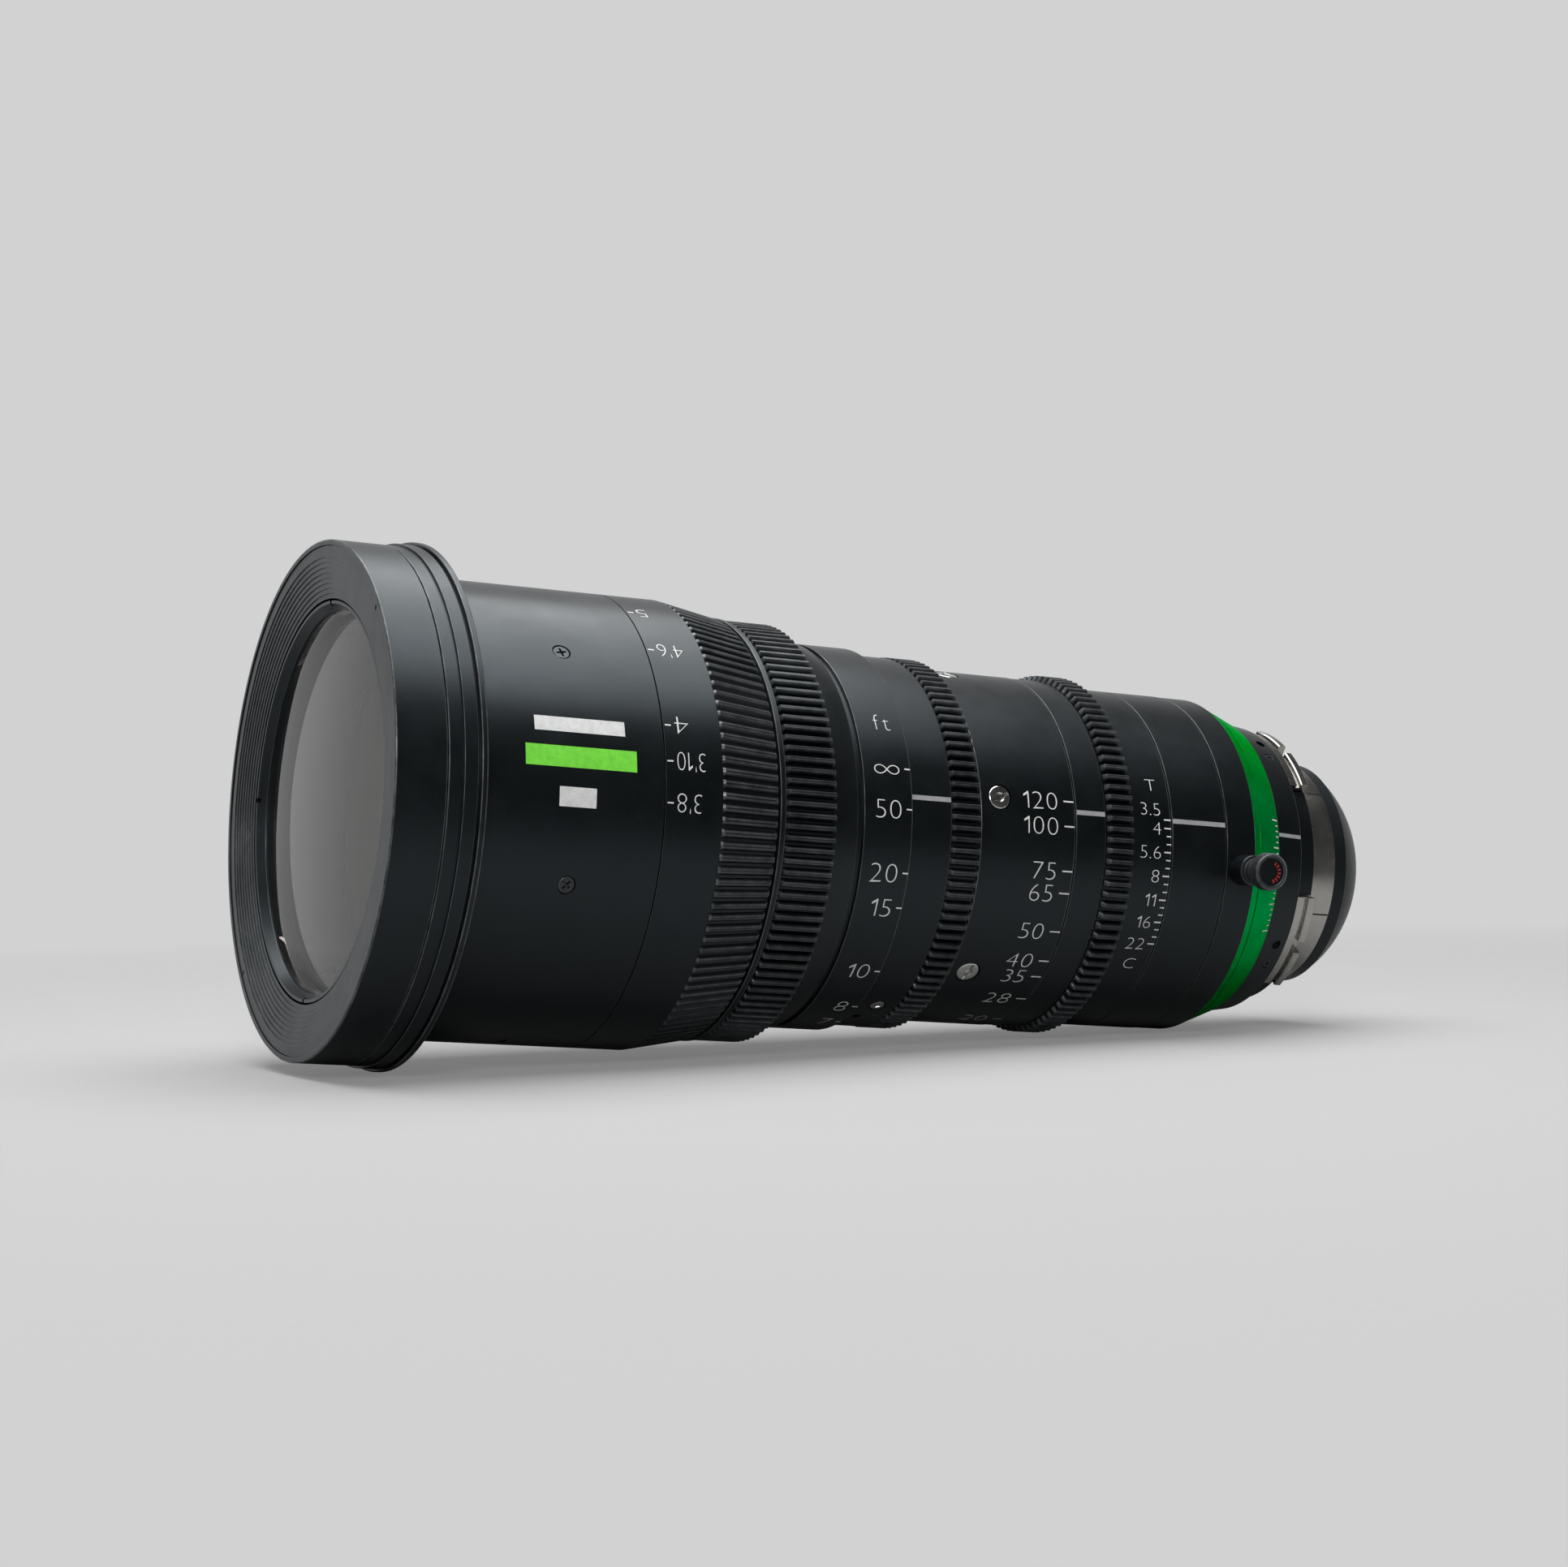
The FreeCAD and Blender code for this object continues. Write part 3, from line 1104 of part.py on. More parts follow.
def iris_cam():
    """The disc that turns with the iris ring. Each slot follows a drive pin, seen from the turning disc."""
    outer = sleeve_inner.value - d.running_gap.value
    thickness = d.cam_thickness.value
    opening = d.iris_opening.value
    half = d.blade_pin_radius.value + d.slot_gap.value
    count = int(d.blade_count.value)
    disc = Part.makeCylinder(outer, thickness, FreeCAD.Vector(0, 0, 0), X_AXIS)
    disc = disc.cut(Part.makeCylinder(opening, thickness, FreeCAD.Vector(0, 0, 0), X_AXIS))
    places = []
    for share in (0.0, 0.5, 1.0):
        y, z = drive_pin_place(d.blade_turn * share)
        spot = FreeCAD.Vector(0, y.value, z.value)
        turn = FreeCAD.Rotation(X_AXIS, d.iris_turn.value * share)
        places.append(turn.multVec(spot))
    path = Part.Circle(*places)
    centre = path.Center
    wide = [centre + (place - centre) * (1 + half / path.Radius) for place in places]
    near = [centre + (place - centre) * (1 - half / path.Radius) for place in places]
    first_tangent = X_AXIS.cross(places[0] - centre).normalize() * half
    last_tangent = X_AXIS.cross(places[2] - centre).normalize() * half
    ahead = 1 if first_tangent.dot(places[1] - places[0]) > 0 else -1
    edges = [Part.Arc(*wide), Part.Arc(wide[2], places[2] + last_tangent * ahead, near[2])]
    edges += [Part.Arc(near[2], near[1], near[0]), Part.Arc(near[0], places[0] - first_tangent * ahead, wide[0])]
    outline = Part.Wire([edge.toShape() for edge in edges])
    slot = Part.Face(outline).extrude(FreeCAD.Vector(thickness, 0, 0))
    for number in range(count):
        copy = slot.copy()
        copy.rotate(FreeCAD.Vector(0, 0, 0), X_AXIS, FULL_TURN / count * number)
        disc = disc.cut(copy)
    hole_radius = d.key_radius.value + d.seat_gap.value
    hole_depth = d.key_seat.value + d.seat_gap.value
    for number in range(int(d.key_count.value)):
        place = FreeCAD.Vector(thickness / 2, 0, outer - hole_depth)
        hole = Part.makeCylinder(hole_radius, hole_depth + OVERCUT, place, Z_AXIS)
        hole.rotate(FreeCAD.Vector(0, 0, 0), X_AXIS, FULL_TURN / d.key_count.value * number)
        disc = disc.cut(hole)
    feature = doc.addObject("Part::Feature", "iris_cam")
    feature.Label = "iris_cam"
    feature.Shape = disc
    feature.Placement = FreeCAD.Placement(FreeCAD.Vector(cam_disc_at.value, 0, 0), FreeCAD.Rotation())
    bodies.append(feature)


def iris_keys():
    """The keys that join the iris ring to its cam disc."""
    base = sleeve_inner - d.running_gap - d.key_seat
    plain_pins("iris_keys", keys_at, TOP, d.key_radius, base, sleeve_bore + d.key_seat, d.key_count)


def iris_blade(number):
    """One blade in its own layer: a curved band, its arm, the pivot pin and the drive pin."""
    layer = d.blade_pitch * (number + 0.5)
    station = iris_front + d.iris_base_at + d.iris_base_thickness + layer
    roll = -FULL_TURN * number / d.blade_count
    body = new_body(f"iris_blade_{number + 1}", station, roll)
    tip = -d.blade_span
    heel = d.blade_start
    inner = d.blade_inner
    outer = d.blade_outer
    cap = d.blade_tip_share * (outer - inner)
    outline = [(inner * cosine(heel), inner * sine(heel), inner, -1), (inner * cosine(tip), inner * sine(tip), cap, 1)]
    outline += [(outer * cosine(tip), outer * sine(tip), outer, 1), (outer * cosine(heel), outer * sine(heel))]
    sketch = new_sketch(body, "YZ_Plane")
    draw_outline(sketch, outline)
    pad(body, sketch, d.blade_thickness)
    pivot = (d.pivot_radius, 0)
    drive = drive_pin_place(Size(0))
    band = ((inner + outer) / 2, 0)
    for end in (drive, band):
        sketch = new_sketch(body, "YZ_Plane")
        draw_slot(sketch, pivot, end, d.blade_boss)
        pad(body, sketch, d.blade_thickness)
    sketch = new_sketch(body, "YZ_Plane")
    draw_circle(sketch, pivot, d.blade_pin_radius)
    pad(body, sketch, layer + d.iris_base_thickness, backwards=True)
    sketch = new_sketch(body, "YZ_Plane")
    draw_circle(sketch, drive, d.blade_pin_radius)
    behind = d.blade_pitch * (d.blade_count + 1) - layer
    pad(body, sketch, behind + d.cam_slot_depth)


# Macro ring, macro cell and knob


def macro_ring():
    """The macro ring under its coloured band, with helical grooves and the seat of the knob."""
    length = d.macro_black_length + d.macro_band_length
    outline = [(0, macro_bore), (0, d.macro_radius), (d.macro_black_length, d.macro_radius)]
    outline += [(d.macro_black_length, d.macro_sleeve), (length, d.macro_sleeve), (length, macro_bore)]
    body = turned("macro_ring", macro_front, outline)
    turn = d.macro_min + d.macro_max
    rate = d.macro_travel / turn
    margin = DEGREES * macro_slot_half / d.rear_tube_radius
    start = d.macro_pin_at - (d.macro_min + margin) * rate
    whole = turn + 2 * margin
    outer = macro_bore + d.macro_groove_depth
    inner = macro_bore - OVERCUT
    angle = TOP + d.macro_min + margin
    width = 2 * macro_slot_half
    helical_slots(body, start, width, inner, outer, angle, whole, whole * rate, False, d.guide_pin_count)
    top = d.macro_radius + OVERCUT
    seat = d.boss_radius + d.seat_gap
    pin = d.knob_pin_radius + d.running_gap
    radial_holes(body, d.knob_at, seat, d.knob_angle, top, d.boss_seat + OVERCUT, 1)
    radial_holes(body, d.knob_at, pin, d.knob_angle, top, top - macro_bore + OVERCUT, 1)


def macro_band():
    """The coloured conical band, with the line round it."""
    length = d.macro_band_length
    slope = (d.macro_band_front - d.macro_band_rear) / length
    first = d.macro_line_at
    last = first + d.macro_line_width
    bore = d.macro_sleeve + d.seat_gap
    floor = d.macro_band_front - slope * last - d.macro_line_depth
    outline = [(0, bore), (0, d.macro_band_front), (first, d.macro_band_front - slope * first), (first, floor)]
    outline += [(last, floor), (last, d.macro_band_front - slope * last), (length, d.macro_band_rear), (length, bore)]
    body = turned("macro_band", macro_front + d.macro_black_length, outline)
    knob = d.knob_at - d.macro_black_length
    seat = d.boss_radius + d.seat_gap
    top = d.macro_radius + OVERCUT
    radial_holes(body, knob, seat, d.knob_angle, top, d.boss_seat + OVERCUT, 1)


def macro_knob():
    """The boss on the macro ring and the knob that is pulled out of it."""
    base = d.macro_radius - d.boss_seat + d.seat_gap
    bore = d.knob_pin_radius + d.running_gap
    station = macro_front + d.knob_at
    outline = [(bore, base), (d.boss_radius, base), (d.boss_radius, d.boss_top), (bore, d.boss_top)]
    pins("macro_boss", station, d.knob_angle, outline, 1)
    foot = d.rear_tube_radius - d.knob_pin_reach
    shoulder = d.boss_top + d.seat_gap
    face = d.knob_head_radius - d.knob_rim
    outline = [(0, foot), (d.knob_pin_radius, foot), (d.knob_pin_radius, shoulder), (d.knob_waist_radius, shoulder)]
    outline += [(d.knob_waist_radius, d.knob_step), (d.knob_neck_radius, d.knob_step)]
    outline += [(d.knob_neck_radius, d.knob_head_base), (d.knob_head_radius, d.knob_head_base)]
    outline += [(d.knob_head_radius, d.knob_top), (face, d.knob_top), (face, d.knob_top - d.knob_face_depth)]
    outline += [(0, d.knob_top - d.knob_face_depth)]
    pins("macro_knob", station, d.knob_angle, outline, 1)


def macro_group():
    """The macro cell with its glass and guide pins."""
    outer = rear_tube_inner - d.running_gap
    pin_at = macro_front + d.macro_pin_at
    length = d.macro_cell_length
    edge = d.cell_glass_edge
    radius = d.cell_glass_radius - d.macro_glass_inset
    body, hole = guided_cell("macro", pin_at, length, outer, radius, edge, d.macro_pin_radius)
    radial_holes(body, length / 2, hole, TOP, outer + OVERCUT, d.guide_pin_seat + OVERCUT, d.guide_pin_count)
    held_glass("macro", pin_at, radius, edge, d.cell_glass_curve)
    base = outer - d.guide_pin_seat + d.seat_gap
    reach = macro_bore + d.macro_groove_depth - d.slot_gap
    plain_pins("macro_pins", pin_at, TOP, d.macro_pin_radius, base, reach, d.guide_pin_count)


# Base ring, mount and rear shroud


def base_ring():
    """The fixed ring ahead of the mount."""
    bore = d.rear_tube_radius + d.seat_gap
    length = d.base_length
    outline = [(0, bore), (0, d.base_front_radius), (length, d.base_rear_radius), (length, bore)]
    turned("base_ring", base_front, outline)


def mount_flange():
    """The steel mount: a flange with grooved and notched wings, and the spigot behind it."""
    inner = d.spigot_radius - d.spigot_wall
    end = d.wing_thickness + d.spigot_length
    web = d.seat_gap - d.wing_gap
    groove = web + d.wing_web_length
    rim = groove + d.wing_groove_length
    chamfer = d.wing_chamfer
    top = d.wing_radius
    outline = [(0, inner), (0, d.rear_neck_radius + d.seat_gap), (web, d.rear_neck_radius + d.seat_gap)]
    outline += [(web, d.wing_web_radius), (groove, d.wing_web_radius), (groove, d.wing_groove_radius)]
    outline += [(rim, d.wing_groove_radius), (rim, top - chamfer), (rim + chamfer, top)]
    outline += [(d.wing_thickness - chamfer, top), (d.wing_thickness, top - chamfer)]
    outline += [(d.wing_thickness, d.spigot_radius), (end, d.spigot_radius), (end, inner)]
    body = turned("mount_flange", flange_front, outline, sideways(d.index_roll))
    gap = FULL_TURN / d.wing_count - d.wing_angle
    before = web - OVERCUT
    outer = d.wing_radius + OVERCUT
    ring_cut(body, before, d.wing_thickness, d.hub_radius, outer, gap, HALF_TURN, d.wing_count)
    half = d.wing_notch / 2
    floor = d.wing_radius - d.wing_notch_depth
    sketch = new_sketch(body, "YZ_Plane", (0, 0, 0), Z_AXIS, HALF_TURN / d.wing_count)
    draw_outline(sketch, [(floor, -half), (outer, -half), (outer, half), (floor, half)])
    repeat_round(body, pocket(body, sketch, d.wing_thickness, forwards=True), d.wing_count)


def lug_blocks():
    """The black blocks that fill the gaps between the wings."""
    body = new_body("lug_blocks", base_rear + d.seat_gap, sideways(d.index_roll))
    sketch = new_sketch(body, "XY_Plane")
    inner = d.rear_neck_radius + d.seat_gap
    length = -base_rear - d.seat_gap
    draw_outline(sketch, [(0, inner), (length, inner), (length, d.lug_radius), (0, d.lug_radius)])
    span = FULL_TURN / d.wing_count - d.wing_angle - 2 * d.lug_clearance
    repeat_round(body, revolve(body, sketch, "X_Axis", span), d.wing_count)


def rear_shroud():
    """The black shoulder and convex cone behind the spigot, with the rear glass in it."""
    plug = d.shroud_plug
    cone_at = plug + d.shroud_shoulder
    end = cone_at + d.shroud_cone_length
    plug_radius = d.spigot_radius - d.spigot_wall - d.seat_gap
    bore = d.rear_glass_radius + d.seat_gap
    lip = end - d.rear_lip
    glass_at = lip - d.seat_gap - d.rear_glass_edge
    outline = [(0, bore), (0, plug_radius), (plug, plug_radius), (plug, d.shroud_radius)]
    outline += [(cone_at, d.shroud_radius), (cone_at, d.shroud_cone_front, d.shroud_curve, -1)]
    outline += [(end, d.shroud_cone_rear), (end, d.rear_opening), (lip, d.rear_opening), (lip, bore)]
    station = d.spigot_length - plug + d.seat_gap
    turned("rear_shroud", station, outline)
    curve = d.rear_glass_curve
    glass("rear_glass", station + glass_at, d.rear_glass_radius, d.rear_glass_edge, curve, curve, 1, -1)


# Build, check and write


def build():
    """Makes every piece."""
    write_sheet()
    front_ring()
    front_retainer()
    flange_ring()
    front_barrel()
    front_cell()
    main_tube()
    zoom_sleeve()
    rear_tube()
    index_rings()
    focus_ring()
    focus_group()
    zoom_ring()
    zoom_drive_screws()
    cam_drum()
    zoom_cells()
    relay()
    iris_ring()
    iris_plates()
    iris_cam()
    iris_keys()
    for number in range(int(d.blade_count.value)):
        iris_blade(number)
    macro_ring()
    macro_band()
    macro_knob()
    macro_group()
    base_ring()
    mount_flange()
    lug_blocks()
    rear_shroud()
    doc.recompute()


def check():
    """Stops where an object has failed or a piece isn't a valid solid."""
    for item in doc.Objects:
        if "Invalid" in item.State or "Error" in item.State:
            raise RuntimeError(f"{item.Label} failed: {item.State}")
    for body in bodies:
        shape = body.Shape
        if shape.isNull() or not shape.isValid() or not shape.Solids:
            raise RuntimeError(f"{body.Label} isn't a valid solid")


def write():
    """Writes each piece and prints what it holds."""
    os.makedirs("parts", exist_ok=True)
    for body in bodies:
        body.Shape.exportStep(f"parts/{body.Label}.step")
        print(body.Label, len(body.Shape.Solids), "solids", round(body.Shape.Volume), "mm3")
    print(len(bodies), "pieces")


build()
check()
write()
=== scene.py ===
import math

import bmesh
import bpy
import numpy as np
from mathutils import Matrix, Vector


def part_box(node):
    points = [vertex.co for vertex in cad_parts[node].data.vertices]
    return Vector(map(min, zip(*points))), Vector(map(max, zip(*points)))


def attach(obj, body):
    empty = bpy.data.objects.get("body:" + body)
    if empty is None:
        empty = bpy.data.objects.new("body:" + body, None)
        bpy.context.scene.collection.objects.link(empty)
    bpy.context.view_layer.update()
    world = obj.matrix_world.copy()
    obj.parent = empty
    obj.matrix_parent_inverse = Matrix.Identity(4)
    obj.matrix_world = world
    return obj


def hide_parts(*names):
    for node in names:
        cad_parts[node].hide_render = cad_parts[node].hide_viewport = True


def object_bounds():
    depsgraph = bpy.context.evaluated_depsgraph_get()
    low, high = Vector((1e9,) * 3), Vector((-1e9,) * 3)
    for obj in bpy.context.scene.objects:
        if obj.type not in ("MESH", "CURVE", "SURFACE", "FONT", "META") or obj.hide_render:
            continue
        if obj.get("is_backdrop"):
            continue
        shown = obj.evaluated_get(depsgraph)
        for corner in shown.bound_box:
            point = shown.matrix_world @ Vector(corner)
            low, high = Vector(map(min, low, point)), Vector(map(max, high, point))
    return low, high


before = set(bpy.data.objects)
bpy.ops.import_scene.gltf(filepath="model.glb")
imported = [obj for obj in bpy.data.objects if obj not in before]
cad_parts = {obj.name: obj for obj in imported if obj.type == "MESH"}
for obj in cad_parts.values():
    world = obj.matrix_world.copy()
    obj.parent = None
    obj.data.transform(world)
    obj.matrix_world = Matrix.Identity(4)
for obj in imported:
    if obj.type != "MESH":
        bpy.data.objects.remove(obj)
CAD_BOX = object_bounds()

bl_info = {
    "name": "Cinema Zoom Lens",
    "version": (1, 0, 0),
    "blender": (4, 5, 0),
    "location": "3D View > Sidebar > Lens",
    "description": "Dresses the packed cinema zoom lens: turned rings, scales, screws, glass and its stage",
    "category": "Object",
}

# Lengths in the tables are millimetres: "along" counts from the front face, a radius from the optical axis.
# Lens angles are degrees round the axis from -Y upwards, as in the part. A corner of an outline is
# (along, radius, bevel), and a section is (along, radius, edge), where edge says how rubbed it looks
# and how strong a painted glint it gets.

MM = 0.001
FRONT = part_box("front_ring")[0].x
GEAR_MODULE = 0.8
INDEX_ANGLE = 13.3
FAR_SIDE = 180
FRONT_RADIUS = 57.0
BARREL_RADIUS = 51.0
FOCUS_BAND_RADIUS = 44.3
ZOOM_BAND_RADIUS = 41.2
IRIS_BAND_RADIUS = 40.1
INDEX_RADII = (43.0, 41.1, 40.1)
INDEX_BORE = 36.05
GEAR_RING_BORE = 36.1
FOCUS_TEETH = 118
ZOOM_TEETH = 106
IRIS_TEETH = 104

# Sharp edges in degrees, bevels as shares of a side and of the bevel, steps and merges in mm
SHARP = 38
SMALL_SHARP = 30
BEVEL_LIMIT = 0.42
BEVEL_RUN_OUT = 0.25
MARK_STEP = 0.6
MARK_MERGE = 1e-5


def at(node):
    """The front of a CAD node, in mm behind the front face."""
    return (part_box(node)[0].x - FRONT) / MM


# User settings


def length(name, description, default, low, high):
    """A length setting, in metres."""
    return bpy.props.FloatProperty(name=name, description=description, default=default, min=low, max=high,
                                   unit="LENGTH", subtype="DISTANCE", precision=5)


def colour(name, description, *default):
    """A colour setting."""
    return bpy.props.FloatVectorProperty(name=name, description=description, default=default, min=0, max=1,
                                         size=3, subtype="COLOR")


def amount(name, description, default, low, high, **kind):
    """A plain number, a share or a power."""
    return bpy.props.FloatProperty(name=name, description=description, default=default, min=low, max=high,
                                   **kind)


class LensSizes(bpy.types.PropertyGroup):
    """Sizes of the dressed lens that a user may change."""

    ring_segments: bpy.props.IntProperty(
        name="Ring Segments", description="Segments round a turned ring", default=256, min=64, max=720
    )
    corner: length("Corner Bevel", "Bevel on the edges of the turned rings", 0.00022, 0.00002, 0.001)
    tooth_chamfer: length("Tooth Chamfer", "Chamfer at the ends of gear teeth", 0.0006, 0.0001, 0.0012)
    mark_height: length("Paint Height", "How far painted marks stand over their ring", 0.00003, 0.00001, 0.0002)
    focus_numerals: length("Focus Numerals", "Height of the focus numerals", 0.0047, 0.002, 0.006)
    near_numerals: length("Second Focus Numerals", "Height of the numerals of the second focus scale", 0.0046,
                          0.002, 0.006)
    zoom_numerals: length("Zoom Numerals", "Height of the zoom numerals", 0.0045, 0.002, 0.006)
    iris_numerals: length("Iris Numerals", "Height of the iris numerals", 0.0033, 0.0015, 0.005)
    tick_width: length("Tick Width", "Width of the scale ticks", 0.00034, 0.0001, 0.001)
    index_width: length("Index Line Width", "Width of the index lines", 0.0011, 0.0004, 0.002)


class LensFinishes(bpy.types.PropertyGroup):
    """Colours and finishes of the lens."""

    black: colour("Black Anodising", "Colour of the black rings", 0.0013, 0.0022, 0.0028)
    # Worn edges show bare metal, and this lighter edge colour also paints a glint along the edges.
    bare_metal_and_glint: colour("Worn Edge And Glint", "Colour of the edges where the black is worn", 0.2, 0.205, 0.21)
    paint: colour("White Paint", "Colour of numerals and ticks", 0.76, 0.77, 0.76)
    band: colour("Green Band", "Colour of the band on the macro ring", 0.0, 0.41, 0.1)
    stripe: colour("Green Stripe", "Colour of the green stripe on the barrel", 0.19, 0.78, 0.045)
    steel: colour("Steel", "Colour of the mount", 0.5, 0.49, 0.465)
    # How strong the worn edges and their painted glint are.
    wear_and_glint: amount("Edge Wear", "How much the black is worn at the edges", 0.22, 0, 1, subtype="FACTOR")
    dust: amount("Dust", "How much fine dust lies on the lens", 0.045, 0, 1, subtype="FACTOR")


class LensStage(bpy.types.PropertyGroup):
    """Floor, light and camera."""

    background: colour("Background", "Colour behind the lens and past the floor's edge", 0.645, 0.645, 0.645)
    floor: colour("Floor", "Colour of the floor", 0.33, 0.33, 0.33)
    fill: amount("Floor Fill", "Even light that the viewer sees on the floor, also in the shadow", 0.17, 0, 1)
    room: amount("Room Light", "Light from all sides, as a share of the background", 0.25, 0, 2)
    overhead: amount("Overhead Softbox", "Power of the softbox over the lens", 12.0, 0, 200, unit="POWER")
    side: amount("Side Softbox", "Power of the softbox beside the front glass", 0.3, 0, 200, unit="POWER")
    key: amount("Key Softbox", "Power of the softbox beside the viewer", 6.0, 0, 400, unit="POWER")
    focal_length: amount("Focal Length", "Focal length in mm, on a 36 mm sensor", 84.19, 20, 200)


def sizes():
    return bpy.context.scene.lens_sizes


def finishes():
    return bpy.context.scene.lens_finishes


# Mesh building


def corner():
    """The usual bevel of a turned edge, in mm."""
    return sizes().corner / MM


def circle(count):
    """Evenly spaced angles round a circle, in degrees."""
    return np.linspace(0, 360, count, endpoint=False)


def shifted(start, outline):
    """An outline or sections that were written from a ring's own front, moved to their place along."""
    return [(start + along, radius, third) for along, radius, third in outline]


def rounded(outline):
    """Rounds the corners of a closed outline: (along, radius, bevel) gives (along, radius, edge)."""
    made = []
    count = len(outline)
    for number, (along, radius, bevel) in enumerate(outline):
        if not bevel:
            made.append((along, radius, 0.0))
            continue
        here = np.array((along, radius), float)
        before = np.array(outline[number - 1][:2], float) - here
        after = np.array(outline[(number + 1) % count][:2], float) - here
        to_before = before / np.linalg.norm(before)
        to_after = after / np.linalg.norm(after)
        bevel = min(bevel, BEVEL_LIMIT * np.linalg.norm(before), BEVEL_LIMIT * np.linalg.norm(after))
        start = here + to_before * bevel
        end = here + to_after * bevel
        made.append((*(start + to_before * bevel * BEVEL_RUN_OUT), 0.0))
        for share in (0, 1 / 3, 2 / 3, 1):
            point = start * (1 - share) ** 2 + here * 2 * share * (1 - share) + end * share**2
            made.append((*point, 1.0))
        made.append((*(end + to_after * bevel * BEVEL_RUN_OUT), 0.0))
    return made


def smooth(mesh, sharp):
    """Sets smooth faces, with sharp edges over an angle."""
    mesh.polygons.foreach_set("use_smooth", np.ones(len(mesh.polygons), bool))
    mesh.set_sharp_from_angle(angle=math.radians(sharp))


def loft(name, sections, angles=None, closed=True, sharp=SHARP):
    """A mesh round the local X axis from sections, whose radius and edge may be arrays over the angles."""
    if angles is None:
        angles = circle(sizes().ring_segments)
    turn = np.radians(angles)
    count = len(turn)
    rows = len(sections)
    places = np.zeros((rows, count, 3))
    edges = np.zeros((rows, count))
    for row, (along, radius, edge) in enumerate(sections):
        places[row, :, 0] = along
        places[row, :, 1] = -np.cos(turn) * radius
        places[row, :, 2] = np.sin(turn) * radius
        edges[row] = edge
    number = np.arange(rows * count).reshape(rows, count)
    following = np.roll(number, -1, axis=0) if closed else number[1:]
    first = number if closed else number[:-1]
    quads = np.stack([first, following, np.roll(following, -1, axis=1), np.roll(first, -1, axis=1)], axis=-1)
    mesh = bpy.data.meshes.new(name)
    mesh.from_pydata((places.reshape(-1, 3) * MM).tolist(), [], quads.reshape(-1, 4).tolist())
    attribute = mesh.attributes.new("edge", "FLOAT", "POINT")
    attribute.data.foreach_set("value", edges.ravel().astype(np.float32))
    work = bmesh.new()
    work.from_mesh(mesh)
    bmesh.ops.remove_doubles(work, verts=work.verts, dist=2e-7)
    bmesh.ops.dissolve_degenerate(work, edges=work.edges, dist=1e-7)
    work.to_mesh(mesh)
    work.free()
    smooth(mesh, sharp)
    mesh.update()
    return mesh


def placed_loft(name, sections, angles=None):
    """A loft whose places along count from the front face."""
    mesh = loft(name, sections, angles)
    mesh.transform(Matrix.Translation((FRONT, 0, 0)))
    return mesh


def turned(name, outline):
    """A turned ring from a closed outline, starting on its outside and running to the rear first."""
    return placed_loft(name, rounded(outline))


def tooth_angles(teeth, shares):
    """Angles of the points that repeat for each tooth."""
    pitch = 360 / teeth
    return np.concatenate([(np.array(shares) + tooth) * pitch for tooth in range(teeth)])


TOOTH_SHARES = (0.0, 0.105, 0.22, 0.335, 0.375, 0.5, 0.625, 0.665, 0.78, 0.895)
TOOTH_SHAPE = (0.0, 0.0, 0.46, 0.92, 1.0, 1.0, 1.0, 0.92, 0.46, 0.0)
# Edge marks round a tooth: wear and a painted glint on the tips and flanks.
TOOTH_WEAR_AND_GLINT = (0.0, 0.0, 0.0, 0.7, 0.8, 0.1, 0.8, 0.7, 0.0, 0.0)
RIB_SHAPE = (0.0, 0.0, 0.55, 0.93, 1.0, 1.0, 1.0, 0.93, 0.55, 0.0)


def toothed(start, end, foot, tip, teeth, chamfer, shape=TOOTH_SHAPE):
    """Sections of gear teeth or ribs between two places. Foot and tip are (front, rear) radii."""
    shape = np.tile(shape, teeth)
    edge = np.tile(TOOTH_WEAR_AND_GLINT, teeth)
    slope = chamfer / (end - start)
    made = []
    # The chamfered ends of teeth and ribs get edge marks: wear and a painted glint.
    for share, height, worn_and_glint in ((0, 0.0, 0.0), (0, 0.45, 0.9), (slope, 1.0, 1.0), (slope * 1.3, 1.0, 0.0),
                                (1 - slope * 1.3, 1.0, 0.0), (1 - slope, 1.0, 1.0), (1, 0.45, 0.9), (1, 0.0, 0.0)):
        low = foot[0] + (foot[1] - foot[0]) * share
        high = tip[0] + (tip[1] - tip[0]) * share
        radius = low + (high - low) * shape * height
        made.append((start + (end - start) * share, radius, np.maximum(edge * (height > 0.9), worn_and_glint * shape)))
    return made


def gear(start, end, teeth):
    """Sections of a gear between two places, with the user's chamfer."""
    foot, tip = gear_foot(teeth), (teeth + 2) * GEAR_MODULE / 2
    return toothed(start, end, (foot, foot), (tip, tip), teeth, sizes().tooth_chamfer / MM)


def gear_foot(teeth):
    return (teeth - 2.5) * GEAR_MODULE / 2


def geared_ring(name, start, teeth, gear_end, neck, outline):
    """A ring with a gear at its front, then a neck, then an outline whose first and last corners are left out."""
    sections = [(start, GEAR_RING_BORE, 0), (start, gear_foot(teeth) - 0.05, 0)]
    sections += gear(start + 0.02, start + gear_end, teeth)
    sections += shifted(start, neck) + rounded(shifted(start, outline))[1:-1]
    return placed_loft(name, sections, tooth_angles(teeth, TOOTH_SHARES))


def to_ring(along, radius, angle, mesh, turn=0.0):
    """Moves a piece built along local X to a place on a ring, with X pointing outwards."""
    phi = math.radians(angle)
    out = Vector((0, -math.cos(phi), math.sin(phi)))
    axial = Vector((1, 0, 0))
    basis = Matrix((out, axial, out.cross(axial))).transposed().to_4x4()
    basis.translation = Vector((FRONT + along * MM, out.y * radius * MM, out.z * radius * MM))
    mesh.transform(basis @ Matrix.Rotation(math.radians(turn), 4, "X"))
    return mesh


def to_face(along, radius, angle, mesh):
    """Moves a piece built along local X to the front face, with X pointing forwards."""
    phi = math.radians(angle)
    basis = Matrix.Rotation(math.pi, 4, "Z")
    basis.translation = Vector((FRONT + along * MM, -math.cos(phi) * radius * MM, math.sin(phi) * radius * MM))
    mesh.transform(basis)
    return mesh


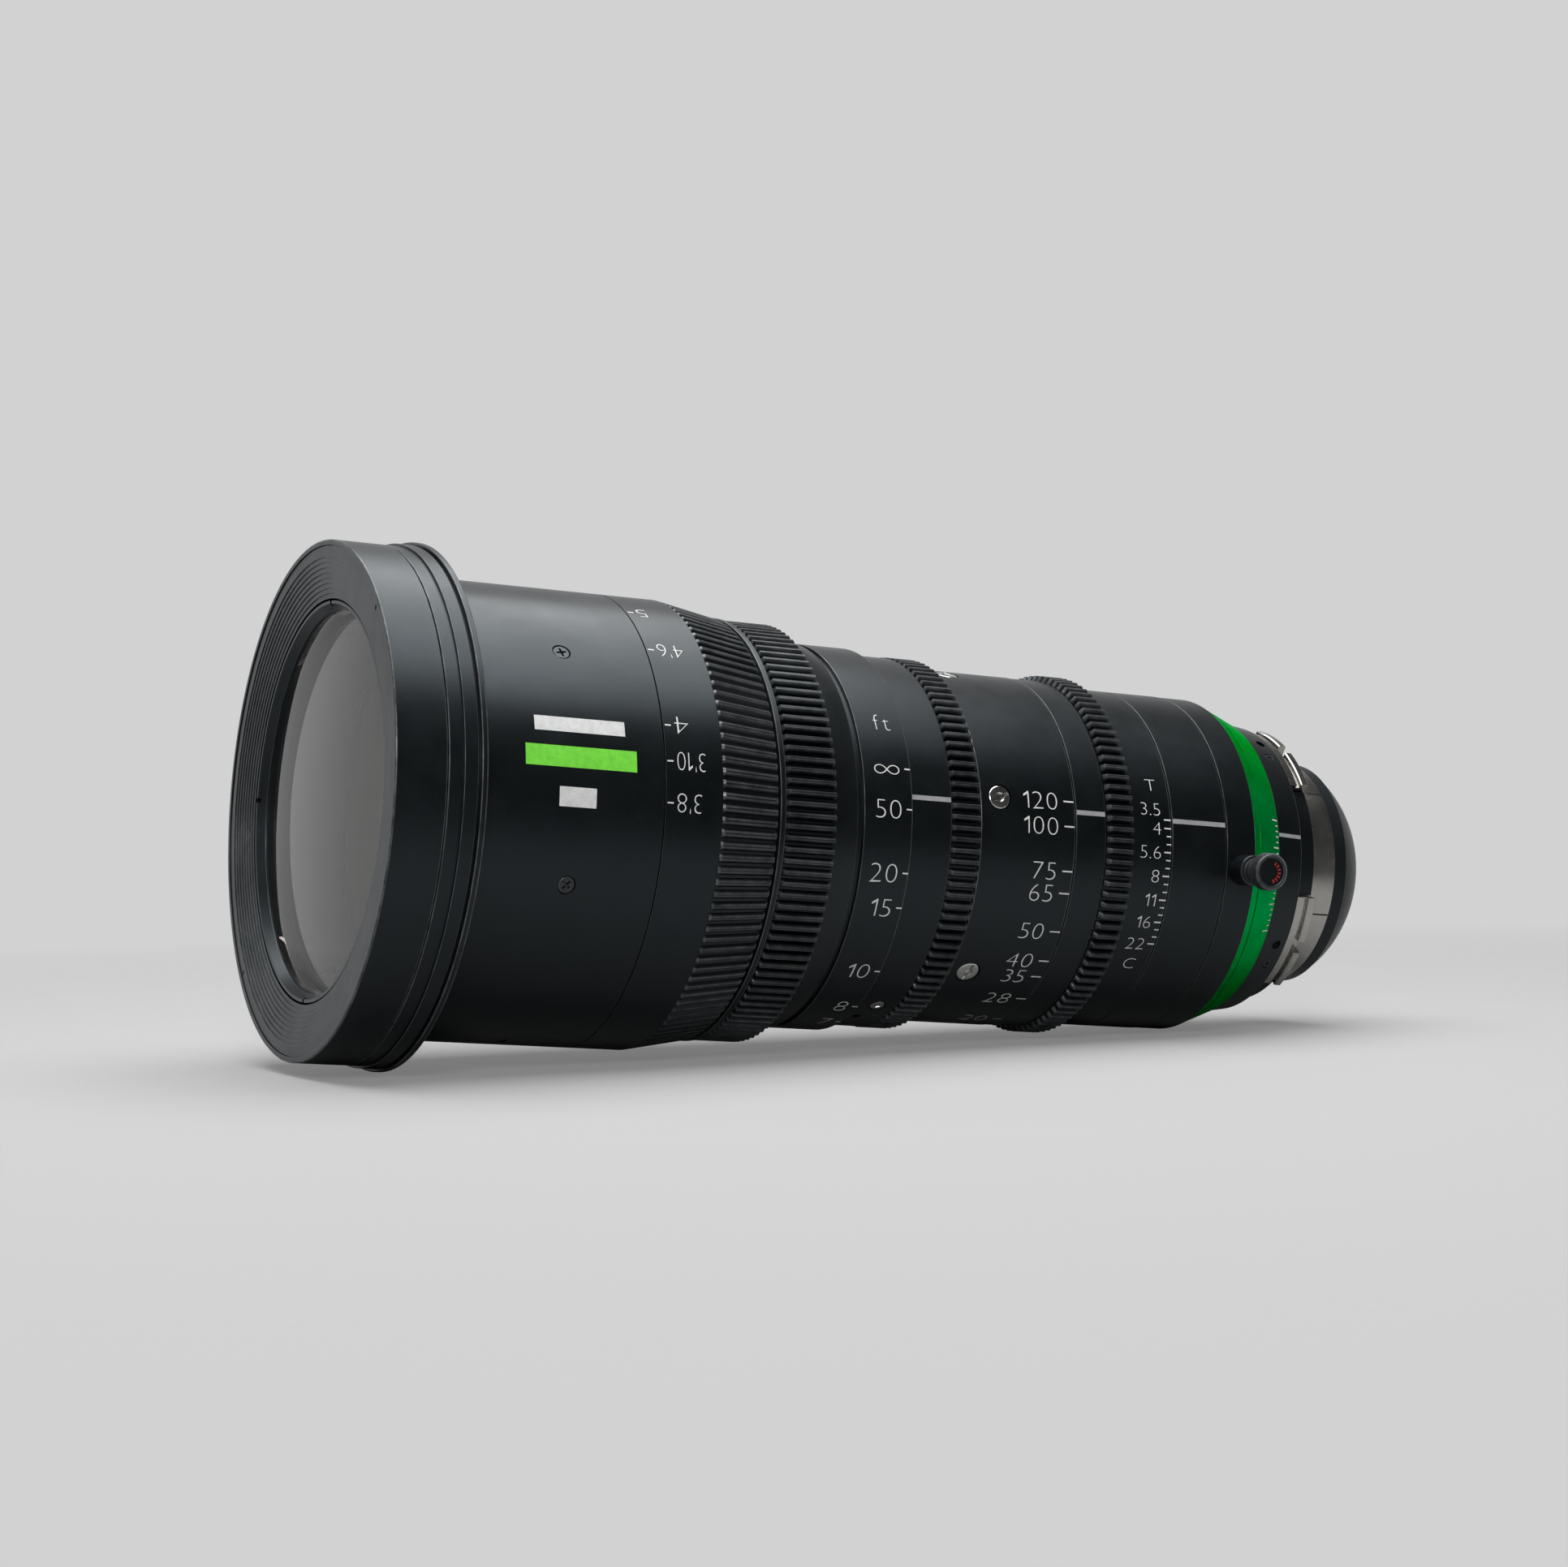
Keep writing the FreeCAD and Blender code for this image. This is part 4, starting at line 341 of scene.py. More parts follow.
def bar(size, place, turn):
    """A block of a size in mm, moved to a place in metres and turned round X."""
    work = bmesh.new()
    bmesh.ops.create_cube(work, size=MM)
    mesh = bpy.data.meshes.new("bar")
    work.to_mesh(mesh)
    work.free()
    mesh.transform(Matrix.Diagonal((*size, 1)))
    mesh.transform(Matrix.Translation(place))
    mesh.transform(Matrix.Rotation(turn, 4, "X"))
    return mesh


def joined(name, meshes, sharp=SHARP):
    """One mesh from several."""
    work = bmesh.new()
    for mesh in meshes:
        work.from_mesh(mesh)
    made = bpy.data.meshes.new(name)
    work.to_mesh(made)
    work.free()
    for mesh in meshes:
        bpy.data.meshes.remove(mesh)
    smooth(made, sharp)
    return made


def cut_away(mesh, cutters):
    """Cuts closed meshes out of another."""
    body = bpy.data.objects.new("cut_body", mesh)
    tool_mesh = joined("cut_tool", cutters)
    tool = bpy.data.objects.new("cut_tool", tool_mesh)
    for thing in (body, tool):
        bpy.context.scene.collection.objects.link(thing)
    cut = body.modifiers.new("cut", "BOOLEAN")
    cut.operation = "DIFFERENCE"
    cut.solver = "EXACT"
    cut.object = tool
    bpy.context.view_layer.update()
    made = bpy.data.meshes.new_from_object(body.evaluated_get(bpy.context.evaluated_depsgraph_get()))
    for thing in (body, tool):
        bpy.data.objects.remove(thing)
    for used in (tool_mesh, mesh):
        bpy.data.meshes.remove(used)
    if len(made.polygons) < 4:
        raise RuntimeError("a cut left nothing of " + made.name)
    smooth(made, SHARP)
    return made


def plug_cutter(radius, depth, lip=0.0, taper=0.0):
    """A round cutter: from lip mm above a surface down to a depth, narrower by taper at its foot."""
    sections = [(-depth, 0.0, 0), (-depth, radius - taper, 0), (lip, radius + taper * lip / depth, 0), (lip, 0.0, 0)]
    return loft("cutter", sections, circle(48), closed=False)


def screw_head(radius, recess, depth, dome=0.0, chamfer=0.2, foot=1.0):
    """A screw head along local X, top at 0. Recess is an array of radii over the angles."""
    inner = np.array(recess)
    sections = [(-foot, 0.0, 0), (-foot, radius, 0), (-chamfer, radius, 0)]
    sections += [(-chamfer * 0.45, radius - chamfer * 0.3, 1)]
    sections += [(0, radius - chamfer, 1), (dome * 0.3, radius - chamfer * 1.4, 0)]
    sections += [(dome, inner + 0.08, 0), (dome - 0.04, inner + 0.02, 1), (dome - 0.1, inner, 0)]
    sections += [(dome - depth, inner * 0.86, 0), (dome - depth, 0.0, 0)]
    return loft("screw", sections, circle(len(recess)), closed=False, sharp=SMALL_SHARP)


RECESS_POINTS = 96
LEAST_SINE = 1e-4


def cross_recess(arm, half):
    """Radii of a cross recess."""
    turn = np.radians(circle(RECESS_POINTS))
    folded = np.abs((turn + math.pi / 4) % (math.pi / 2) - math.pi / 4)
    return np.minimum(arm / np.cos(folded), half / np.maximum(np.sin(folded), LEAST_SINE))


def slot_recess(arm, half, hole):
    """Radii of a slot with a round hole at its middle."""
    side = half / np.maximum(np.abs(np.sin(np.radians(circle(RECESS_POINTS)))), LEAST_SINE)
    return np.maximum(hole, np.minimum(arm, side))


def hex_recess(size):
    """Radii of a hexagonal socket."""
    return size / np.cos(np.radians((circle(48) + 30) % 60 - 30))


def bulge(curve, radius):
    """The signed depth of a curved surface at a radius."""
    depth = abs(curve) - math.sqrt(curve * curve - radius * radius)
    return math.copysign(depth, curve)


def lens_shape(name, radius, edge, front, rear):
    """A glass element. A curve is the radius in mm, positive where the surface bulges outwards."""
    chamfer = 0.15
    inside = np.linspace(0, 1, 25)[1:] * radius
    sections = [(-bulge(front, radius), 0.0, 0)]
    sections += [(bulge(front, r) - bulge(front, radius), r, 0) for r in inside[:-1]]
    sections += [(0.0, radius - chamfer, 1), (chamfer, radius, 1), (edge - chamfer, radius, 1)]
    sections += [(edge, radius - chamfer, 1)]
    sections += [(edge + bulge(rear, radius) - bulge(rear, r), r, 0) for r in inside[:-1][::-1]]
    sections += [(edge + bulge(rear, radius), 0.0, 0)]
    return loft(name, sections, circle(128), closed=False, sharp=SMALL_SHARP)


# Marks on the rings

SIGN_GAP = 0.14
DIGIT_HEIGHT = 0.729
SIGN_WEIGHT = -0.026
SIGN_STRETCH = 1.13
SIGN_THICKNESS = 0.012
ONE_FLAG = ((0.01, 0.0), (0.01, -0.1), (-0.15, -0.2), (-0.15, -0.12))
MARK_SINK = 0.05


def block(work, low, high, place):
    """A raised bar in flat ring coordinates, laid on its ring by place(u, v, w)."""
    steps = max(1, int(math.ceil((high[1] - low[1]) / MARK_STEP)))
    rows = []
    for step in range(steps + 1):
        v = low[1] + (high[1] - low[1]) * step / steps
        corners = [(low[0], low[2]), (high[0], low[2]), (high[0], high[2]), (low[0], high[2])]
        rows.append([work.verts.new(place(u, v, w)) for u, w in corners])
    for first, second in zip(rows[:-1], rows[1:]):
        for k in range(4):
            work.faces.new((first[k], first[(k + 1) % 4], second[(k + 1) % 4], second[k]))
    work.faces.new(rows[0][::-1])
    work.faces.new(rows[-1])


def character(sign):
    """One flat character as a mesh. The font's plain 1 gets a flag."""
    curve = bpy.data.curves.new("numeral", "FONT")
    curve.body = sign
    curve.size = 1.0
    curve.offset = SIGN_WEIGHT
    curve.resolution_u = 4
    curve.extrude = SIGN_THICKNESS
    thing = bpy.data.objects.new("numeral", curve)
    bpy.context.scene.collection.objects.link(thing)
    bpy.context.view_layer.update()
    mesh = bpy.data.meshes.new_from_object(thing.evaluated_get(bpy.context.evaluated_depsgraph_get()))
    bpy.data.objects.remove(thing)
    bpy.data.curves.remove(curve)
    if sign == "1":
        work = bmesh.new()
        work.from_mesh(mesh)
        stem = min(vertex.co.x for vertex in work.verts)
        top = max(vertex.co.y for vertex in work.verts)
        low, high = [[work.verts.new((stem + u, top + v, w)) for u, v in ONE_FLAG]
                     for w in (-SIGN_THICKNESS, SIGN_THICKNESS)]
        work.faces.new(low)
        work.faces.new(high[::-1])
        for k in range(4):
            work.faces.new((low[k], high[k], high[(k + 1) % 4], low[(k + 1) % 4]))
        work.to_mesh(mesh)
        work.free()
    return mesh


def letters(text, height, wide):
    """Flat numerals as a mesh in mm, middle of their height at 0, and their width."""
    scale = height / DIGIT_HEIGHT
    width = 0.0
    made = []
    for sign in text:
        mesh = character(sign)
        left = min(vertex.co.x for vertex in mesh.vertices)
        right = max(vertex.co.x for vertex in mesh.vertices)
        for vertex in mesh.vertices:
            u = (vertex.co.x - left + width) * scale * wide
            vertex.co = (u, (vertex.co.y - DIGIT_HEIGHT / 2) * scale, vertex.co.z)
        width += right - left + SIGN_GAP
        made.append(mesh)
    return joined("numerals", made), (width - SIGN_GAP) * scale * wide


def write_marks(name, ring_radius, words, ticks, height=0.0, flipped=False):
    """Numerals (text, edge along, angle and perhaps a stretch) and ticks (start, end, angle, width) on a ring.
    Ring radius may be a function of the place along."""
    radius_at = ring_radius if callable(ring_radius) else (lambda along: ring_radius)
    lift = sizes().mark_height / MM
    work = bmesh.new()

    def placer(along, angle):
        def place(u, v, w):
            here = radius_at(along + u)
            phi = math.radians(angle) + v / here
            r = (here + w) * MM
            return Vector((FRONT + (along + u) * MM, -r * math.cos(phi), r * math.sin(phi)))
        return place

    for start, end, angle, width in ticks:
        block(work, (0, -width / 2, -MARK_SINK), (end - start, width / 2, lift), placer(start, angle))
    for text, along, angle, *stretch in words:
        mesh, reach = letters(text, height, SIGN_STRETCH * (stretch[0] if stretch else 1))
        piece = bmesh.new()
        piece.from_mesh(mesh)
        bmesh.ops.remove_doubles(piece, verts=piece.verts, dist=MARK_MERGE)
        for level in np.arange(-height, height, MARK_STEP):
            everything = piece.verts[:] + piece.edges[:] + piece.faces[:]
            bmesh.ops.bisect_plane(piece, geom=everything, plane_co=(0, level, 0), plane_no=(0, 1, 0))
        place = placer(along, angle)
        for vertex in piece.verts:
            u, v, w = vertex.co
            w = lift if w > 0 else -MARK_SINK
            vertex.co = place(reach - u, -v, w) if flipped else place(u - reach, v, w)
        piece.to_mesh(mesh)
        piece.free()
        work.from_mesh(mesh)
        bpy.data.meshes.remove(mesh)
    bmesh.ops.recalc_face_normals(work, faces=work.faces)
    mesh = bpy.data.meshes.new(name)
    work.to_mesh(mesh)
    work.free()
    mesh.polygons.foreach_set("use_smooth", np.zeros(len(mesh.polygons), bool))
    return mesh


def opposite(marks):
    """The same numerals or ticks on the far side of the ring."""
    return [(*mark[:2], mark[2] + FAR_SIDE, *mark[3:]) for mark in marks]


# Shader groups


def feed(tree, socket, value):
    """Links a socket to a value's socket, or sets it to a constant."""
    if isinstance(value, bpy.types.NodeSocket):
        tree.links.new(value, socket)
    else:
        socket.default_value = value


def set_inputs(tree, node, **values):
    """Feeds a node's inputs by name, with underscores for spaces."""
    for key, value in values.items():
        feed(tree, node.inputs[key.replace("_", " ")], value)


def add(tree, kind, **values):
    """A node with its input values, or the sockets that feed them."""
    node = tree.nodes.new(kind)
    set_inputs(tree, node, **values)
    return node


def maths(tree, operation, first, second=None, clamp=False):
    """The output of a maths node."""
    node = tree.nodes.new("ShaderNodeMath")
    node.operation = operation
    node.use_clamp = clamp
    feed(tree, node.inputs[0], first)
    if second is not None:
        feed(tree, node.inputs[1], second)
    return node.outputs[0]


def times(tree, first, second, clamp=False):
    return maths(tree, "MULTIPLY", first, second, clamp)


def plus(tree, first, second, clamp=False):
    return maths(tree, "ADD", first, second, clamp)


def minus(tree, first, second, clamp=False):
    return maths(tree, "SUBTRACT", first, second, clamp)


def from_axis(tree, first, second):
    """The distance from an axis: the root of the sum of two squares."""
    return maths(tree, "SQRT", plus(tree, maths(tree, "POWER", first, 2.0), maths(tree, "POWER", second, 2.0)))


def mixed(tree, share, first, second):
    """The output of a colour mix."""
    node = tree.nodes.new("ShaderNodeMix")
    node.data_type = "RGBA"
    feed(tree, node.inputs["Factor"], share)
    feed(tree, node.inputs[6], first)
    feed(tree, node.inputs[7], second)
    return node.outputs[2]


def ranged(tree, value, from_low, from_high, to_low, to_high):
    """Maps a value from one range to another."""
    node = add(tree, "ShaderNodeMapRange", Value=value, From_Min=from_low, From_Max=from_high, To_Min=to_low,
               To_Max=to_high)
    return node.outputs[0]


def noise(tree, place, scale, detail, roughness=0.5, distortion=0.0):
    """The value of a noise texture."""
    node = add(tree, "ShaderNodeTexNoise", Vector=place, Scale=scale, Detail=detail, Roughness=roughness,
               Distortion=distortion)
    return node.outputs["Fac"]


def object_place(tree):
    """The place on the object, in its own frame."""
    return add(tree, "ShaderNodeTexCoord").outputs["Object"]


def new_group(name, inputs, outputs):
    """A shader node group with float sockets, its given values and its results."""
    group = bpy.data.node_groups.new(name, "ShaderNodeTree")
    for socket, default in inputs:
        made = group.interface.new_socket(socket, in_out="INPUT", socket_type="NodeSocketFloat")
        made.default_value = default
    for socket in outputs:
        group.interface.new_socket(socket, in_out="OUTPUT", socket_type="NodeSocketFloat")
    start = group.nodes.new("NodeGroupInput")
    end = group.nodes.new("NodeGroupOutput")
    return group, start.outputs, end


def turned_lines(name):
    """Fine lathe lines round the optical axis, on cylinders and on faces alike."""
    group, given, end = new_group(name, [("Lines", 2600.0), ("Unevenness", 0.3)], ["Height", "Shade"])
    place = object_place(group)
    split = add(group, "ShaderNodeSeparateXYZ", Vector=place).outputs
    radius = from_axis(group, split[1], split[2])
    turned_place = add(group, "ShaderNodeCombineXYZ", X=split[0], Y=radius).outputs[0]
    lines = noise(group, turned_place, given["Lines"], 3.0, 0.65)
    patch = ranged(group, noise(group, place, 40.0, 2.0), 0.3, 0.7, 0.6, 1.0)
    shade = times(group, minus(group, lines, 0.5), given["Unevenness"])
    set_inputs(group, end, Height=times(group, lines, patch), Shade=shade)
    return group


def blasted_grain(name):
    """The fine grain of blasted and anodised metal, with faint mottling."""
    group, given, end = new_group(name, [("Scale", 5200.0), ("Mottle Scale", 160.0)],
                                  ["Height", "Speckle", "Mottle"])
    place = object_place(group)
    fine = noise(group, place, given["Scale"], 2.0, 0.7)
    coarse = noise(group, place, given["Mottle Scale"], 4.0, 0.6)
    set_inputs(group, end, Height=fine, Speckle=ranged(group, fine, 0.35, 0.75, 0.0, 1.0),
               Mottle=ranged(group, coarse, 0.3, 0.7, -1.0, 1.0))
    return group


def edge_wear_and_glint(name):
    """Where an edge is rubbed, and where a painted glint runs along it: the mesh's edge mark, broken up by noise."""
    group, given, end = new_group(name, [("Amount", 0.5), ("Patch Scale", 260.0)], ["Mask"])
    mark = add(group, "ShaderNodeAttribute")
    mark.attribute_name = "edge"
    patches = noise(group, object_place(group), given["Patch Scale"], 4.0, 0.7)
    mask = times(group, maths(group, "POWER", mark.outputs["Fac"], 1.5),
                 ranged(group, patches, 0.35, 0.65, 0.25, 1.0))
    set_inputs(group, end, Mask=times(group, mask, given["Amount"], clamp=True))
    return group


def dust_and_marks(name):
    """Fine dust, more on surfaces that face up, and soft hand marks."""
    group, given, end = new_group(name, [("Amount", 0.1), ("Speck Scale", 1500.0)], ["Dust", "Hand Marks"])
    place = object_place(group)
    normal = add(group, "ShaderNodeNewGeometry").outputs["Normal"]
    up = add(group, "ShaderNodeSeparateXYZ", Vector=normal).outputs[2]
    speck = ranged(group, noise(group, place, given["Speck Scale"], 1.0), 0.66, 0.74, 0.0, 1.0)
    cloud = ranged(group, noise(group, place, 70.0, 3.0, 0.6), 0.4, 0.75, 0.05, 0.5)
    dust = times(group, plus(group, speck, cloud), ranged(group, up, -0.4, 1.0, 0.15, 1.0))
    hands = noise(group, place, 34.0, 3.0, 0.55, 0.8)
    set_inputs(group, end, Dust=times(group, dust, given["Amount"], clamp=True),
               Hand_Marks=ranged(group, hands, 0.42, 0.62, 0.0, 1.0))
    return group


GROUPS = {
    "Turned Lines": turned_lines,
    "Blasted Grain": blasted_grain,
    "Edge Wear": edge_wear_and_glint,
    "Dust And Hand Marks": dust_and_marks,
}


def group_node(tree, name, **values):
    """The outputs of a node that uses one of the shared groups."""
    node = tree.nodes.new("ShaderNodeGroup")
    node.node_tree = bpy.data.node_groups.get(name) or GROUPS[name](name)
    set_inputs(tree, node, **values)
    return node.outputs


# Materials

COOL_TINT = (0.8, 0.93, 1.0, 1.0)
NO_TINT = (1.0, 1.0, 1.0, 1.0)
GREEN_TINT = (0.0, 1.0, 0.25, 1.0)
GLASS_TINT = (1.0, 0.88, 0.92, 1.0)
DUST_COLOUR = (0.2, 0.2, 0.2, 1)
RUBBED_STEEL = (0.8, 0.8, 0.79, 1)
COATING_IOR = 1.38


def new_material(name):
    """A material with a lone Principled BSDF."""
    made = bpy.data.materials.new(name)
    made.use_nodes = True
    tree = made.node_tree
    tree.nodes.clear()
    output = tree.nodes.new("ShaderNodeOutputMaterial")
    shader = tree.nodes.new("ShaderNodeBsdfPrincipled")
    tree.links.new(shader.outputs[0], output.inputs[0])
    return made, tree, shader


def bump(tree, height, strength, distance):
    """A normal from a height."""
    return add(tree, "ShaderNodeBump", Height=height, Strength=strength, Distance=distance).outputs[0]


def scaled(tone, share, lift=0.0):
    """A colour made darker or lighter, with its alpha."""
    return (*[min(1, c * share + lift) for c in tone], 1)


def half_mottle(tree, grain):
    """The grain's mottling as a share from 0 to 1."""
    return plus(tree, 0.5, times(tree, grain["Mottle"], 0.5))


def coated_metal(name, tone, roughness, specular=0.45, metallic=0.0, lines=0.0, wear_and_glint=None, dust=None,
                 grain=0.12, tint=COOL_TINT):
    """Anodised metal: a deep colour, satin grain or lathe lines, rubbed edges that also carry a painted glint, and a
    little dust.
    """
    made, tree, shader = new_material(name)
    wear_and_glint = finishes().wear_and_glint if wear_and_glint is None else wear_and_glint
    dust = finishes().dust if dust is None else dust
    blasted = group_node(tree, "Blasted Grain")
    lathe = group_node(tree, "Turned Lines")
    # The edge mask paints worn edges and a painted glint along them, in the lighter edge colour.
    worn_and_glint = group_node(tree, "Edge Wear", Amount=wear_and_glint)["Mask"]
    dirt = group_node(tree, "Dust And Hand Marks", Amount=dust)
    deep = mixed(tree, half_mottle(tree, blasted), scaled(tone, 0.85), scaled(tone, 1.15, 0.0006))
    dusty = mixed(tree, dirt["Dust"], deep, DUST_COLOUR)
    rough = plus(tree, roughness, times(tree, blasted["Mottle"], 0.025))
    rough = plus(tree, rough, times(tree, dirt["Hand Marks"], 0.03))
    rough = plus(tree, rough, times(tree, lathe["Shade"], 0.25 * lines))
    rough = minus(tree, rough, times(tree, worn_and_glint, 0.1), clamp=True)
    height = plus(tree, times(tree, blasted["Height"], grain), times(tree, lathe["Height"], lines))
    set_inputs(tree, shader, Base_Color=mixed(tree, worn_and_glint, dusty, (*finishes().bare_metal_and_glint, 1)), Roughness=rough,
               Metallic=metallic or times(tree, worn_and_glint, 0.8), Specular_IOR_Level=specular, Specular_Tint=tint,
               Normal=bump(tree, height, 1.0, 0.00002))
    return made


def bare_steel(name, tone, roughness, lines=0.15, stain=0.1):
    """Turned steel with fine lines, uneven polish and faint stains."""
    made, tree, shader = new_material(name)
    blasted = group_node(tree, "Blasted Grain", Scale=1500.0, Mottle_Scale=90.0)
    lathe = group_node(tree, "Turned Lines", Lines=3400.0)
    # Steel edges get the lighter rubbed colour through the same mask of wear and painted glint.
    worn_and_glint = group_node(tree, "Edge Wear", Amount=0.8)["Mask"]
    base = mixed(tree, half_mottle(tree, blasted), scaled(tone, 1 - stain * 2), scaled(tone, 1 + stain))
    rough = plus(tree, roughness, times(tree, lathe["Shade"], 0.3))
    rough = plus(tree, rough, times(tree, blasted["Mottle"], 0.05), clamp=True)
    height = plus(tree, times(tree, lathe["Height"], lines), times(tree, blasted["Height"], 0.1))
    set_inputs(tree, shader, Base_Color=mixed(tree, worn_and_glint, base, RUBBED_STEEL), Metallic=1.0, Roughness=rough,
               Normal=bump(tree, height, 1.0, 0.000008))
    return made


def filled_paint(name, tone):
    """Paint in an engraved mark: slightly uneven, matt."""
    made, tree, shader = new_material(name)
    blasted = group_node(tree, "Blasted Grain", Scale=2600.0, Mottle_Scale=700.0)
    set_inputs(tree, shader, Base_Color=mixed(tree, half_mottle(tree, blasted), scaled(tone, 0.8), (*tone, 1)),
               Roughness=ranged(tree, blasted["Speckle"], 0.0, 1.0, 0.5, 0.7),
               Normal=bump(tree, blasted["Height"], 0.6, 0.00002))
    return made


def coated_glass(name, tone, film, ior):
    """Optical glass with a coating that tints its reflection. Film is the coating's thickness in nanometres."""
    made, tree, shader = new_material(name)
    blasted = group_node(tree, "Blasted Grain", Scale=900.0, Mottle_Scale=90.0)
    dirt = group_node(tree, "Dust And Hand Marks", Amount=0.5, Speck_Scale=700.0)
    set_inputs(tree, shader, Base_Color=mixed(tree, dirt["Dust"], (*tone, 1), scaled(tone, 0.97)), Metallic=0.0,
               Transmission_Weight=1.0, IOR=ior, Thin_Film_Thickness=film, Thin_Film_IOR=COATING_IOR,
               Specular_Tint=GLASS_TINT, Roughness=ranged(tree, blasted["Mottle"], -1.0, 1.0, 0.0, 0.012))
    return made


def material(kind):
    """The material of a kind, made once."""
    look = finishes()
    made = bpy.data.materials.get(kind)
    if made:
        return made
    makers = {
        "satin_black": lambda: coated_metal(kind, look.black, 0.33, lines=0.08),
        "turned_black": lambda: coated_metal(kind, look.black, 0.35, lines=0.5, wear_and_glint=0.6),
        "gear_black": lambda: coated_metal(kind, look.black, 0.32, wear_and_glint=0.75, grain=0.05),
        "inner_black": lambda: coated_metal(kind, (0.006, 0.006, 0.007), 0.55, specular=0.2, dust=0.02),
        "inner_metal": lambda: coated_metal(kind, (0.09, 0.09, 0.095), 0.45, metallic=0.7, lines=0.6,
                                            tint=NO_TINT),
        "shroud_grey": lambda: coated_metal(kind, (0.005, 0.006, 0.007), 0.4, specular=0.35, lines=0.15),
        "green_band": lambda: coated_metal(kind, look.band, 0.33, metallic=1.0, lines=0.1, wear_and_glint=0.1, dust=0.0,
                                           tint=GREEN_TINT),
        "bright_steel": lambda: bare_steel(kind, look.steel, 0.24, stain=0.07),
        "screw_steel": lambda: bare_steel(kind, (0.66, 0.66, 0.64), 0.2, lines=0.3),
        "screw_black": lambda: coated_metal(kind, (0.02, 0.021, 0.023), 0.3, specular=0.5, wear_and_glint=0.6,
                                            grain=0.05),
        "silver_line": lambda: filled_paint(kind, (0.36, 0.36, 0.37)),
        "ground_steel": lambda: bare_steel(kind, (0.55, 0.55, 0.54), 0.22, lines=0.3),
        "blade_steel": lambda: coated_metal(kind, (0.012, 0.012, 0.014), 0.34, specular=0.5, dust=0.02),
        "white_paint": lambda: filled_paint(kind, look.paint),
        "green_paint": lambda: filled_paint(kind, look.stripe),
        "red_paint": lambda: filled_paint(kind, (0.6, 0.02, 0.012)),
        "coated_outer_glass": lambda: coated_glass(kind, (0.97, 0.98, 0.975), 0.0, 1.19),
        "coated_inner_glass": lambda: coated_glass(kind, (0.88, 0.97, 0.92), 110.0, 1.45),
    }
    return makers[kind]()


def new_piece(name, mesh, body, finish, replaces=()):
    """A piece of the lens that rides on a body and may stand for CAD nodes."""
    piece = bpy.data.objects.new(name, mesh)
    mesh.name = name
    bpy.context.scene.collection.objects.link(piece)
    mesh.materials.clear()
    mesh.materials.append(material(finish))
    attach(piece, body)
    if replaces:
        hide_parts(*replaces)


def stand_in(node, mesh, body, finish):
    """A turned piece that stands for the CAD node it is named after."""
    new_piece(node + "_turned", mesh, body, finish, [node])


def dress(finish, *nodes):
    """Gives CAD nodes that are shown as they are their material."""
    for node in nodes:
        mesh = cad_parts[node].data
        mesh.materials.clear()
        mesh.materials.append(material(finish))


# Operators, one for each piece or group of like pieces


class LENS_OT_front_rings(bpy.types.Operator):
    """Front ring with its steps, the retaining ring of the front glass and the flange ring"""

    bl_idname = "lens.front_rings"
    bl_label = "Front Rings"

    def execute(self, context):
        edge = corner()
        lip, band, depth, rise, width = 55.8, 53.2, 0.3, 0.2375, 1.11
        outline = [(0, FRONT_RADIUS, 0.4), (11.4, FRONT_RADIUS, edge), (11.4, 51.1, 0), (8.2, 51.1, 0)]
        outline += [(8.2, 48.05, 0), (4.4, 48.05, 0), (4.4, 44.32, 0)]
        for step in range(8, 0, -1):
            outline.append((depth + rise * step, band - width * step, 0.06))
            outline.append((depth + rise * step, band - width * (step - 1), 0.03))
        outline += [(depth, band, 0.06), (depth, lip - 0.12, 0.03), (depth + 0.25, lip - 0.12, 0)]
        outline += [(depth + 0.25, lip, 0), (0, lip, 0.08)]
        mesh = turned("front_ring_turned", outline)
        screw_radius, screw_angles = 54.6, (48, -134)
        mesh = cut_away(mesh, [to_face(depth, screw_radius, angle, plug_cutter(0.55, 0.6, 0.3))
                               for angle in screw_angles])
        stand_in("front_ring", mesh, "housing", "turned_black")
        screws = [to_face(depth + 0.12, screw_radius, angle,
                          screw_head(0.5, hex_recess(0.24), 0.3, chamfer=0.08, foot=0.4))
                  for angle in screw_angles]
        new_piece("front_ring_set_screws", joined("set", screws), "housing", "screw_black")
        outline = [(2.4, 43.9, 0.12), (6.4, 43.9, 0), (6.4, 42.02, 0), (4.3, 42.02, 0.1), (2.4, 43.2, 0.06)]
        notches = [bar((1.8, 1.0, 4.0), (FRONT + 2.3 * MM, 0, 43.0 * MM), math.radians(angle))
                   for angle in (0, 90, 180, 270)]
        ring = cut_away(turned("retaining_ring", outline), notches)
        new_piece("retaining_ring", ring, "housing", "satin_black", ["front_retainer"])
        step, rim, bore = 57.55, 58.2, 51.06
        outline = [(11.6, FRONT_RADIUS, edge), (14.9, FRONT_RADIUS, 0), (14.9, step, 0.12), (17.9, step, 0.12)]
        outline += [(17.9, FRONT_RADIUS, 0), (18.5, FRONT_RADIUS, 0), (18.5, rim, 0.22), (19.9, rim, 0.3)]
        outline += [(19.9, bore, 0), (11.6, bore, 0)]
        stand_in("flange_ring", turned("flange", outline), "housing", "turned_black")
        return {"FINISHED"}


